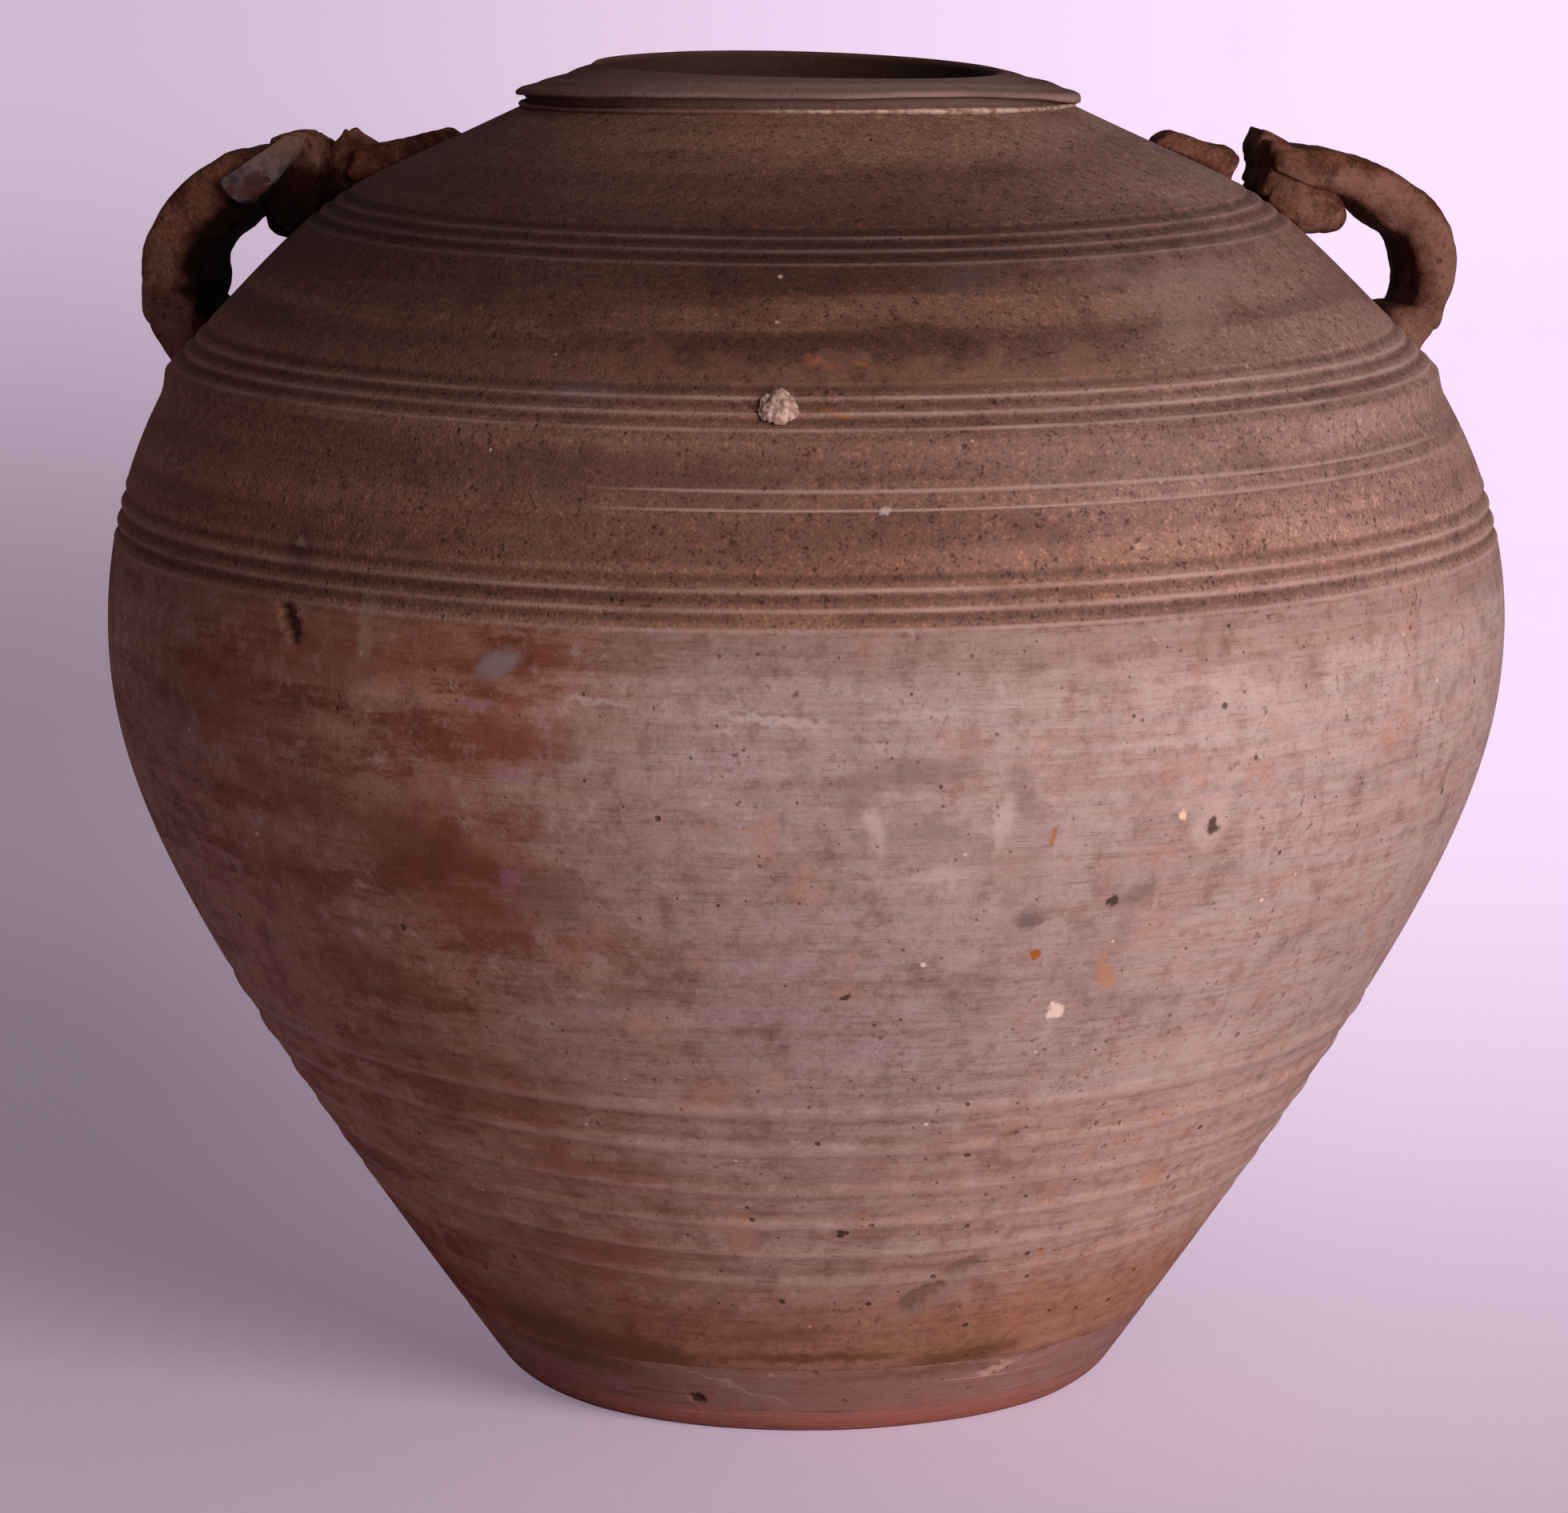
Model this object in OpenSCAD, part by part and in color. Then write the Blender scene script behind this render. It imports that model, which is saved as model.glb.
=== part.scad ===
// Wide-shouldered stoneware storage jar with two loop handles, built from luted clay pieces.
// Millimetres, +Z up, origin at the centre of the foot. The front of the jar faces -Y.

/* [Body] */
// Radius of the foot where it meets the floor
base_r = 86.5; // [80:0.5:92]
// Radius at the widest line of the belly
belly_r = 200; // [192:1:208]
// Height of the widest line of the belly
belly_z = 219; // [212:1:226]
// Radius at the angle between side and shoulder
shoulder_r = 181.5; // [176:0.5:186]
// Rise from the widest line to the angle between side and shoulder
shoulder_up = 72; // [69:0.5:75]
// Radius where the shoulder turns into the neck
neck_r = 80; // [77:0.5:83]
// Rise from that angle to the place where the shoulder turns into the neck
neck_up = 73; // [70:0.5:76]
// Radius of the mouth
mouth_r = 57; // [52:0.5:62]
// Thickness of the thrown wall
wall = 10; // [8:0.5:12]
// Thickness of the floor slab
floor_t = 14; // [10:0.5:17]
// Height of the foot's outer edge
foot_h = 22; // [20:0.5:24]
// Width of the worn bevel under the foot
foot_bevel = 2; // [1:0.25:3]

/* [Flank curves] */
// Slope of the lower side at the foot, in degrees
flank_angle = 54.5; // [52:0.5:57]
// How far the lower side runs straight
flank_pull = 165; // [155:1:172]
// How full the belly is below its widest line
belly_pull_low = 43; // [36:1:50]
// How full the belly is above its widest line
belly_pull_high = 38; // [30:1:44]
// Slope of the upper side where it ends, in degrees
side_angle = 110; // [106:0.5:114]
// How far the upper side runs straight there
side_pull = 3; // [2:0.5:6]
// Height of the edge between the upper side and the shoulder
shoulder_edge_h = 6; // [5:0.5:8]
// How far that edge leans in
shoulder_edge_in = 1; // [0.5:0.25:2]
// Slope of the shoulder where it starts, in degrees
shoulder_angle = 46.5; // [44:0.5:49]
// How far the shoulder runs straight
shoulder_pull = 80; // [70:1:88]
// Slope of the shoulder at the neck, in degrees
neck_angle = 25.5; // [23:0.5:28]
// How far the neck end of the shoulder runs straight
neck_pull = 65; // [56:1:70]

/* [Joins between the thrown rings] */
// How far the join between lower wall and belly ring lies below the widest line
belly_join_down = 90; // [86:0.5:93]
// How far the join between belly ring and upper side ring lies above the widest line
side_join_up = 21; // [18:0.5:22]
// Depth of the scored V in each join
join_depth = 3; // [2:0.25:4]
// Width of the flat left on each side of the V
join_land = 2; // [1.5:0.25:2.75]

/* [Combed grooves and throwing ridges] */
// Width of one combed groove
groove_w = 4; // [3:0.25:4.5]
// Depth of one combed groove
groove_d = 0.9; // [0.5:0.1:1.4]
// Spacing of the comb's teeth along the wall
comb_pitch = 5.2; // [4.8:0.1:5.6]
// Teeth in the comb
comb_teeth = 3; // [2:1:3]
// How far the belly band's lowest groove lies above the join under it
belly_band_up = 6.5; // [5:0.5:9]
// How far the shoulder band's lowest groove lies above the shoulder's angle
shoulder_band_up = 4.5; // [4.5:0.5:8]
// How far the top band's lowest groove lies below the neck
top_band_down = 29.5; // [26:0.5:34]
// How far the lowest throwing ridge lies above the foot's edge
ridge_up = 30; // [24:0.5:34]
// Spacing of the throwing ridges
ridge_pitch = 11; // [9:0.25:12]
// Throwing ridges on the lower wall
ridge_count = 6; // [3:1:6]
// How far a throwing ridge stands out
ridge_h = 0.9; // [0.5:0.1:1.4]
// Radius of a throwing ridge's rounded back
ridge_r = 3.5; // [2.5:0.25:5]

/* [Lip] */
// How far the lip stands out beyond the neck
lip_out = 1; // [0:0.25:4]
// Thickness of the lip at the mouth
lip_t = 2.5; // [2:0.25:4]
// Thickness of the lip at its outer edge
lip_edge_t = 3; // [2:0.25:4]
// Height of the worn edge round the mouth
lip_wear = 1; // [0.5:0.25:1.5]
// Height of the slot under the lip's outer edge
lip_gap = 1.75; // [1.25:0.25:2.5]
// How far the slot under the lip reaches in from the lip's edge
lip_undercut = 5; // [4:0.25:6]
// Width of the bead of pale clay that seals the slot
lute_w = 3; // [2:0.25:3.5]

/* [Both handles] */
// Width of the strap
strap_w = 32; // [28:1:38]
// Radius of the strap's rounded edges
strap_edge_r = 3.5; // [2:0.5:4.5]
// Height of the joint between strap and lower root above the shoulder's angle
root_top_up = 12; // [10:0.5:15]
// Height of the pull point of the loop's outer bend above that joint
loop_up = 19; // [15:0.5:24]
// Drop of the strap's middle line where it bends down
strap_sag = 4; // [0:0.5:6]
// Width of the clay that lutes the lower root to the wall
root_w = 38; // [34:1:42]
// How far the luted clay stands out round the strap's foot
root_lap = 0.5; // [0.25:0.25:1]
// Radius of the lower root's rounded foot
root_foot_r = 8; // [6.5:0.5:9]
// Height of the middle of that foot above the shoulder's angle
root_foot_up = 2; // [0:0.5:4]
// How far the middle of that foot sits inside the middle of the strap
root_foot_inset = 5.5; // [4:0.5:7]
// Width of the clay pad under the strap's inner end
pad_w = 34; // [28:1:38]
// Radius of the pad's rounded edges
pad_edge_r = 5; // [4:0.5:6]
// Radius of the pad's rounded top under the strap
pad_neck_r = 3; // [2:0.25:3.5]
// Height of the pad's nose above the shoulder under it
pad_nose_up = 18.5; // [17.5:0.25:19.5]
// How far the pad's nose lies in from the shoulder's angle
pad_nose_in = 21.5; // [20.5:0.5:23.5]
// Width of the knob at the strap's inner end
knob_w = 18; // [14:1:20]
// How far the knob sits in front of the strap's middle line
knob_front = 5; // [0:0.5:6]
// How much of the knob's round is pressed flat underneath
knob_press = 1; // [0.5:0.25:2]
// Width of the leaf behind the knob
leaf_w = 18; // [14:1:20]
// How far the leaf sits behind the strap's middle line
leaf_behind = 3; // [0:0.5:5]
// Share of the leaf's length that its blunt tip takes
leaf_blunt = 0.2; // [0.1:0.05:0.5]
// Width of the tail strip that runs up the shoulder
tail_w = 20; // [14:1:24]
// Share of its width that the tail strip keeps at its thin end
tail_narrow = 0.5; // [0.3:0.05:0.8]
// Height of the tail strip's thin end above the shoulder
tail_tip_h = 2; // [1.5:0.25:3]
// Radius of the tail strip's rounded top
tail_edge_r = 3; // [2:0.5:3.5]

/* [Left handle] */
// How far the left handle sits behind the jar's side line, in degrees
left_back = 15; // [0:1:18]
// How far the middle of the left strap's foot stands out from the shoulder's angle
left_root_out = 4.5; // [1.5:0.5:6.5]
// How far the pull point of the left loop's outer bend stands out from that foot
left_loop_out = 10.5; // [7:0.5:14]
// Thickness of the left strap
left_strap_t = 15; // [11:0.5:16]
// How far the left strap's inner end lies in from the shoulder's angle
left_end_in = 29.5; // [28.5:0.5:31.5]
// Height of the left strap's middle line above the shoulder at that end
left_end_up = 24.4; // [22.4:0.1:26.4]
// How far the left strap runs level before it bends down
left_reach = 25; // [22:0.5:30]
// Length of the left knob along the strap
left_knob_l = 12; // [11:0.5:13]
// Height of the left knob's top above the strap's middle line
left_knob_up = 10; // [9:0.5:12]
// Length of the left leaf along the strap
left_leaf_l = 11; // [9:0.5:13]
// Height of the left leaf's tip above the strap's middle line
left_leaf_up = 10; // [8:0.5:12]
// Length of the left tail strip
left_tail_l = 27; // [22:1:30]
// Height of the left tail strip's thick end above the shoulder
left_tail_h = 8; // [6:0.5:9]
// Length of the broken leaf's stub along the strap
stub_l = 25; // [20:1:30]
// Width of the broken leaf's stub
stub_w = 10; // [8:0.5:12]
// How far the stub stands out from the strap's edge
stub_h = 6; // [4:0.5:8]
// Distance along the strap from its inner end to the middle of the stub
stub_reach = 5; // [3:0.5:8]
// Slope of the stub, in degrees
stub_angle = 37; // [25:1:45]

/* [Right handle] */
// How far the right handle sits behind the jar's side line, in degrees
right_back = 12; // [0:1:18]
// How far the middle of the right strap's foot lies in from the shoulder's angle
right_root_in = 3; // [0.5:0.5:5.5]
// How far the pull point of the right loop's outer bend stands out from that foot
right_loop_out = 14; // [10.5:0.5:17.5]
// Thickness of the right strap
right_strap_t = 11; // [10:0.5:13]
// How far the right strap's inner end lies in from the shoulder's angle
right_end_in = 39.5; // [37.5:0.5:41.5]
// Height of the right strap's middle line above the shoulder at that end
right_end_up = 15; // [13:0.5:17]
// How far the right strap runs level before it bends down
right_reach = 37; // [32:0.5:40]
// Length of the right knob along the strap
right_knob_l = 7; // [6:0.5:9]
// Height of the right knob's top above the strap's middle line
right_knob_up = 8; // [6.5:0.5:9]
// Length of the right leaf along the strap
right_leaf_l = 7; // [5:0.5:8]
// Height of the right leaf's tip above the strap's middle line
right_leaf_up = 12.5; // [9:0.5:14]
// Length of the right tail strip
right_tail_l = 25; // [20:1:28]
// Height of the right tail strip's thick end above the shoulder
right_tail_h = 7.5; // [6:0.5:9]

/* [Kiln crumb] */
// Width of the crumb of kiln clay stuck to the shoulder
crumb_w = 11; // [8:0.5:14]
// Height of the crumb above the wall
crumb_h = 2.5; // [1.5:0.25:4]
// How far the middle of the crumb lies above the shoulder's angle
crumb_up = 8; // [6:0.5:19]
// Turn of the crumb away from the front, in degrees
crumb_turn = -2; // [-30:1:30]

/* [Hidden] */
shoulder_z = belly_z + shoulder_up;
neck_z = shoulder_z + neck_up;
belly_join_z = belly_z - belly_join_down;
side_join_z = belly_z + side_join_up;
belly_band_z = side_join_z + belly_band_up;
shoulder_band_z = shoulder_z + shoulder_band_up;
top_band_z = neck_z - top_band_down;
ridge_z = foot_h + ridge_up;
lip_r = neck_r + lip_out;
undercut_r = lip_r - lip_undercut;
crumb_z = shoulder_z + crumb_up;
far = 320;
flank_steps = 22;
side_steps = 12;
dome_steps = 20;
dome_inside_start = 3;
ring_fn = 180;

clay_grey = [0.45, 0.33, 0.28];
clay_brown = [0.34, 0.23, 0.19];
clay_red = [0.45, 0.27, 0.22];
clay_pale = [0.62, 0.46, 0.38];
scar_grey = [0.47, 0.45, 0.47];

// Curves in the (radius, height) plane

function bezier(p, t) = pow(1 - t, 3) * p[0] + 3 * pow(1 - t, 2) * t * p[1]
    + 3 * (1 - t) * t * t * p[2] + pow(t, 3) * p[3];
function slope(p, t) = 3 * pow(1 - t, 2) * (p[1] - p[0]) + 6 * (1 - t) * t * (p[2] - p[1])
    + 3 * t * t * (p[3] - p[2]);
function away(d) = [d[1], -d[0]] / norm(d);
function along(a) = [cos(a), sin(a)];

flank = [[base_r, 0], [base_r, 0] + flank_pull * along(flank_angle),
    [belly_r, belly_z - belly_pull_low], [belly_r, belly_z]];
side_top = [shoulder_r + shoulder_edge_in, shoulder_z - shoulder_edge_h];
side = [[belly_r, belly_z], [belly_r, belly_z + belly_pull_high],
    side_top - side_pull * along(side_angle), side_top];
dome = [[shoulder_r, shoulder_z], [shoulder_r, shoulder_z] + shoulder_pull * along(180 - shoulder_angle),
    [neck_r, neck_z] + neck_pull * along(-neck_angle), [neck_r, neck_z]];
mouth_z = neck_z + (neck_r - mouth_r) * tan(neck_angle);
throat_z = mouth_z - wall / cos(neck_angle);

function offset_curve(p, steps, first, inward) =
    [for (i = [first:steps]) bezier(p, i / steps) - inward * away(slope(p, i / steps))];
outline = concat(offset_curve(flank, flank_steps, 1, 0), offset_curve(side, side_steps, 1, 0),
    offset_curve(dome, dome_steps, 0, 0));
inline = concat(offset_curve(flank, flank_steps, 1, wall), offset_curve(side, side_steps, 1, wall),
    offset_curve(dome, dome_steps, dome_inside_start, wall));

function outer_r(z) = lookup(z, concat([[0, base_r]], [for (p = outline) [p[1], p[0]]],
    [[mouth_z, mouth_r]]));
function inner_r(z) = lookup(z, [for (p = inline) [p[1], p[0]]]);
function outer_z(r) = lookup(r, concat([[mouth_r, mouth_z]],
    [for (i = [dome_steps:-1:0]) let (p = bezier(dome, i / dome_steps)) [p[0], p[1]]]));
function out_of_wall(z) = away([outer_r(z + 1) - outer_r(z - 1), 2]);

// Sections of the wall, to be turned round the axis

module core_section() {
    polygon(concat([[0, 0], [base_r - foot_bevel, 0], [outer_r(foot_bevel), foot_bevel]],
        outline, [[mouth_r, mouth_z], [0, mouth_z]]));
}

module hollow_section() {
    polygon(concat([[0, floor_t], [inner_r(floor_t), floor_t]],
        [for (p = inline) if (p[1] > floor_t) p],
        [[mouth_r, throat_z], [mouth_r, mouth_z + 1], [0, mouth_z + 1]]));
}

module wall_section() {
    difference() {
        core_section();
        hollow_section();
    }
}

module below_scored_face(z, outside, inside) {
    middle = (outside + inside) / 2;
    polygon([[0, -1], [far, -1], [far, z], [outside - join_land, z], [middle, z - join_depth],
        [inside + join_land, z], [0, z]]);
}

module below_join(z) {
    below_scored_face(z, outer_r(z), inner_r(z));
}

module below_shoulder() {
    below_scored_face(shoulder_z, shoulder_r, shoulder_r - wall);
}

module below_foot_join() {
    polygon([[0, -1], [far, -1], [far, foot_h], [outer_r(foot_h), foot_h],
        [inner_r(floor_t), floor_t], [0, floor_t]]);
}

module comb_band(z) {
    radius = (groove_w * groove_w / 4 + groove_d * groove_d) / (2 * groove_d);
    for (i = [0:comb_teeth - 1]) {
        rise = i * comb_pitch * abs(out_of_wall(z)[0]);
        spot = [outer_r(z + rise), z + rise];
        translate(spot + (radius - groove_d) * out_of_wall(z + rise))
            circle(r = radius, $fn = 48);
    }
}

module ridges() {
    for (i = [0:ridge_count - 1]) {
        z = ridge_z + i * ridge_pitch;
        translate([outer_r(z), z] - (ridge_r - ridge_h) * out_of_wall(z))
            circle(r = ridge_r, $fn = 48);
    }
}

module turned() {
    rotate_extrude($fn = ring_fn) children();
}

module jar_core() {
    turned() core_section();
}

module base_disc() {
    color(clay_red) turned() intersection() {
        wall_section();
        below_foot_join();
    }
}

module lower_wall() {
    color(clay_grey) turned() difference() {
        union() {
            intersection() {
                wall_section();
                below_join(belly_join_z);
            }
            ridges();
        }
        below_foot_join();
    }
}

module belly_wall() {
    color(clay_grey) turned() difference() {
        intersection() {
            wall_section();
            below_join(side_join_z);
        }
        below_join(belly_join_z);
    }
}

module upper_side_wall() {
    color(clay_brown) turned() difference() {
        intersection() {
            wall_section();
            below_shoulder();
        }
        below_join(side_join_z);
        comb_band(belly_band_z);
    }
}

module shoulder_dome() {
    color(clay_brown) turned() difference() {
        wall_section();
        below_shoulder();
        inside_neck_join();
        comb_band(shoulder_band_z);
        comb_band(top_band_z);
    }
}

// Lip and the lute under it

function lip_under_z(r) = outer_z(r) + lip_gap * (r - undercut_r + lute_w) / (lip_undercut + lute_w);
neck_inside = inline[len(inline) - 1];

module inside_neck_join() {
    polygon([[0, shoulder_z], [neck_inside[0], shoulder_z], neck_inside,
        [undercut_r, outer_z(undercut_r)], [undercut_r, far + mouth_z], [0, far + mouth_z]]);
}

module collar_section() {
    nose = lip_edge_t / 2;
    edge_r = lip_r - nose;
    edge_z = lip_under_z(edge_r) + nose;
    top_z = mouth_z + lip_t;
    polygon(concat([neck_inside, [mouth_r, throat_z], [mouth_r, top_z - lip_wear],
        [mouth_r + lip_wear, top_z - lip_wear / 4], [mouth_r + 3 * lip_wear, top_z]],
        [for (a = [90:-15:-90]) [edge_r, edge_z] + nose * along(a)],
        [[undercut_r, lip_under_z(undercut_r)], [undercut_r, outer_z(undercut_r)]]));
}

module lip_collar() {
    color(clay_grey) turned() collar_section();
}

module neck_lute() {
    lute_r = undercut_r + lute_w;
    color(clay_pale) turned() polygon([[undercut_r, outer_z(undercut_r)],
        [lute_r, outer_z(lute_r)], [lute_r, lip_under_z(lute_r)],
        [undercut_r, lip_under_z(undercut_r)]]);
}

// Handles, drawn in a frame where X runs out from the axis and -Y faces the front

strap_rings = 22;
corner_steps = 4;

root_top_z = shoulder_z + root_top_up;
left_root_r = shoulder_r + left_root_out;
right_root_r = shoulder_r - right_root_in;
left_end_r = shoulder_r - left_end_in;
right_end_r = shoulder_r - right_end_in;
left_end_z = outer_z(left_end_r) + left_end_up;
right_end_z = outer_z(right_end_r) + right_end_up;

function strap_path(root_r, loop_out, end_r, end_z, reach) = [[root_r, root_top_z],
    [root_r + loop_out, root_top_z + loop_up], [end_r + reach, end_z - strap_sag], [end_r, end_z]];
left_path = strap_path(left_root_r, left_loop_out, left_end_r, left_end_z, left_reach);
right_path = strap_path(right_root_r, right_loop_out, right_end_r, right_end_z, right_reach);
left_leaf_r = left_end_r - left_knob_l;
right_leaf_r = right_end_r - right_knob_l;
left_tail_r = left_leaf_r - left_leaf_l;
right_tail_r = right_leaf_r - right_leaf_l;

function edge_loop(w, t) = [for (corner = [0:3], i = [0:corner_steps - 1])
    let (a = 90 * corner + 90 * i / (corner_steps - 1),
        cx = (w / 2 - strap_edge_r) * (corner == 0 || corner == 3 ? 1 : -1),
        cy = (t / 2 - strap_edge_r) * (corner < 2 ? 1 : -1))
    [cx, cy] + strap_edge_r * along(a)];
function strap_side(path, k) = k == 0 ? [1, 0] : k == strap_rings ? [0, 1]
    : away(slope(path, k / strap_rings));
function strap_ring(path, t, k) = let (p = bezier(path, k / strap_rings), side = strap_side(path, k))
    [for (q = edge_loop(strap_w, t)) [p[0] + q[1] * side[0], q[0], p[1] + q[1] * side[1]]];

module strap(path, t) {
    sides = 4 * corner_steps;
    rings = [for (k = [0:strap_rings]) strap_ring(path, t, k)];
    walls = [for (k = [0:strap_rings - 1], i = [0:sides - 1])
        let (j = (i + 1) % sides, a = k * sides, b = (k + 1) * sides)
        each [[a + i, b + j, b + i], [a + i, a + j, b + j]]];
    foot = [for (i = [1:sides - 2]) [0, i + 1, i]];
    end = [for (i = [1:sides - 2]) [0, i, i + 1] + strap_rings * sides * [1, 1, 1]];
    polyhedron([for (r = rings) each r], concat(walls, foot, end));
}

module lower_root(root_r, t) {
    top_r = t / 2 + root_lap;
    difference() {
        hull() for (y = [-1, 1]) {
            translate([root_r, y * (strap_w / 2 - top_r), root_top_z - 1])
                cylinder(r = top_r, h = 1, $fn = 32);
            translate([root_r - root_foot_inset, y * (root_w / 2 - root_foot_r), shoulder_z + root_foot_up])
                sphere(r = root_foot_r, $fn = 24);
        }
        jar_core();
    }
}

module outside_plane(r) {
    translate([r, -far / 2, 0]) cube([far, far, 2 * far]);
}

module inside_plane(r) {
    translate([r - far, -far / 2, 0]) cube([far, far, 2 * far]);
}

module upper_pad(path, t, leaf_r) {
    end_r = path[3][0];
    end_z = path[3][1];
    nose_r = shoulder_r - pad_nose_in;
    difference() {
        hull() for (y = [-1, 1]) {
            translate([nose_r - pad_edge_r, y * (pad_w / 2 - pad_edge_r), outer_z(nose_r) + pad_nose_up])
                sphere(r = pad_edge_r, $fn = 24);
            for (x = [leaf_r, nose_r - 2 * pad_edge_r])
                translate([x, y * (strap_w / 2 - 2 * strap_edge_r), end_z - 1])
                    sphere(r = pad_neck_r, $fn = 24);
            translate([leaf_r, y * (pad_w / 2 - pad_edge_r), outer_z(leaf_r) - pad_edge_r])
                sphere(r = pad_edge_r, $fn = 24);
        }
        strap(path, t);
        inside_plane(leaf_r);
        translate([end_r - far, -far / 2, end_z - t / 2]) cube(far);
        jar_core();
    }
}

module across(w, y) {
    translate([0, y + w / 2, 0]) rotate([90, 0, 0]) linear_extrude(w) children();
}

module knob(path, t, l, up) {
    end_r = path[3][0];
    end_z = path[3][1];
    radius = (up + t / 2 + knob_press) / 2;
    across(knob_w, -knob_front) intersection() {
        translate([end_r - l / 2, end_z + up - radius]) circle(r = radius, $fn = 48);
        translate([end_r - l, end_z - t / 2]) square([l, up + t / 2]);
    }
}

module leaf(path, r, l, up) {
    root_z = outer_z(r) - wall / 2;
    middle_z = path[3][1] + up / 2;
    tip_z = path[3][1] + up;
    tip = l * leaf_blunt / 2;
    difference() {
        across(leaf_w, leaf_behind) polygon([[r, root_z], [r, middle_z], [r - l / 2 + tip, tip_z],
            [r - l / 2 - tip, tip_z], [r - l, middle_z], [r - l, root_z]]);
        jar_core();
    }
}

module tail(r, l, h) {
    start_r = r - 1;
    tip_r = r - l + tail_edge_r;
    reach = tail_w / 2 - tail_edge_r;
    difference() {
        hull() for (y = [-reach, reach], depth = [tail_edge_r, tail_edge_r + wall / 2]) {
            translate([start_r, y, outer_z(start_r) + h - depth])
                sphere(r = tail_edge_r, $fn = 20);
            translate([tip_r, y * tail_narrow, outer_z(tip_r) + tail_tip_h - depth])
                sphere(r = tail_edge_r, $fn = 20);
        }
        outside_plane(r);
        jar_core();
    }
}

module leaf_stub() {
    base_y = knob_front + knob_w / 2;
    reach = (stub_l - stub_w) / 2;
    difference() {
        translate([left_end_r + stub_reach, -base_y, left_end_z]) rotate([90, stub_angle, 0])
            linear_extrude(strap_w / 2 - base_y + stub_h) hull() for (x = [-reach, reach])
                translate([x, 0]) circle(d = stub_w, $fn = 32);
        strap(left_path, left_strap_t);
    }
}

module on_right() {
    rotate([0, 0, right_back]) children();
}

module on_left() {
    mirror([1, 0, 0]) rotate([0, 0, left_back]) children();
}

module left_handle_strap() {
    color(clay_brown) on_left() strap(left_path, left_strap_t);
}

module left_lower_root() {
    color(clay_brown) on_left() lower_root(left_root_r, left_strap_t);
}

module left_upper_pad() {
    color(clay_brown) on_left() upper_pad(left_path, left_strap_t, left_leaf_r);
}

module left_knob() {
    color(clay_brown) on_left() knob(left_path, left_strap_t, left_knob_l, left_knob_up);
}

module left_leaf() {
    color(clay_brown) on_left() leaf(left_path, left_leaf_r, left_leaf_l, left_leaf_up);
}

module left_tail() {
    color(clay_brown) on_left() tail(left_tail_r, left_tail_l, left_tail_h);
}

module left_leaf_stub() {
    color(scar_grey) on_left() leaf_stub();
}

module right_handle_strap() {
    color(clay_brown) on_right() strap(right_path, right_strap_t);
}

module right_lower_root() {
    color(clay_brown) on_right() lower_root(right_root_r, right_strap_t);
}

module right_upper_pad() {
    color(clay_brown) on_right() upper_pad(right_path, right_strap_t, right_leaf_r);
}

module right_knob() {
    color(clay_brown) on_right() knob(right_path, right_strap_t, right_knob_l, right_knob_up);
}

module right_leaf() {
    color(clay_brown) on_right() leaf(right_path, right_leaf_r, right_leaf_l, right_leaf_up);
}

module right_tail() {
    color(clay_brown) on_right() tail(right_tail_r, right_tail_l, right_tail_h);
}

module kiln_crumb() {
    radius = (crumb_w * crumb_w / 4 + crumb_h * crumb_h) / (2 * crumb_h);
    spot = [outer_r(crumb_z), crumb_z] + (crumb_h - radius) * out_of_wall(crumb_z);
    color(clay_pale) difference() {
        rotate([0, 0, crumb_turn - 90]) translate([spot[0], 0, spot[1]])
            sphere(r = radius, $fn = 48);
        jar_core();
    }
}

base_disc();
lower_wall();
belly_wall();
upper_side_wall();
shoulder_dome();
lip_collar();
neck_lute();
left_handle_strap();
left_lower_root();
left_upper_pad();
left_knob();
left_leaf();
left_tail();
left_leaf_stub();
right_handle_strap();
right_lower_root();
right_upper_pad();
right_knob();
right_leaf();
right_tail();
kiln_crumb();
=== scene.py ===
# %% [markdown]
# # A stoneware storage jar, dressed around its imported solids
# The jar was thrown in rings of clay that were luted together, and its two strap handles were
# pressed on by hand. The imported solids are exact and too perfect. This lesson keeps their places
# and sizes, turns a finer skin over each ring of the wall, re-models each lump of handle clay,
# and mixes the clays' colours from shader nodes.

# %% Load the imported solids
import math

import bmesh
import bpy
import numpy as np
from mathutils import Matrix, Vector, noise


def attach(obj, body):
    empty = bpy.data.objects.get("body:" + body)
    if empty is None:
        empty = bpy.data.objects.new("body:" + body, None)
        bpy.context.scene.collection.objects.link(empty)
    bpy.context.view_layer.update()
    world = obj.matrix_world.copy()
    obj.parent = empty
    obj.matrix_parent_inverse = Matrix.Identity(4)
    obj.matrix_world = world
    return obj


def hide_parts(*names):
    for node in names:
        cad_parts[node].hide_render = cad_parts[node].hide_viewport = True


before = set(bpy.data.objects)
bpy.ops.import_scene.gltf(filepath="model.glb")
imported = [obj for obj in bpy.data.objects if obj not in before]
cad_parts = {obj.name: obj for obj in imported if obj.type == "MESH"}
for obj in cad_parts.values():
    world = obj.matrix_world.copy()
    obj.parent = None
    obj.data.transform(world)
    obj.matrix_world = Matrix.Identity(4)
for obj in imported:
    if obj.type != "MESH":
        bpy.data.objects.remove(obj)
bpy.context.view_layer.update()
MM = 0.001

# %% [markdown]
# ## Camera
# The jar was photographed from about 1.9 m away with a long lens, slightly from above. A long
# lens keeps the ellipses of the combed bands flat, so the distance matters as much as the angle.
# The place and the lens were worked out from the outline of the jar and the ellipse of its rim.

# %% Place the camera
PHOTO_WIDE, PHOTO_TALL = 1960, 1891
CAMERA_PLACE = (-6.4 * MM, -1861 * MM, 498 * MM)
CAMERA_DOWN = 9.775
LENS_PIXELS = 8177

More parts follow.
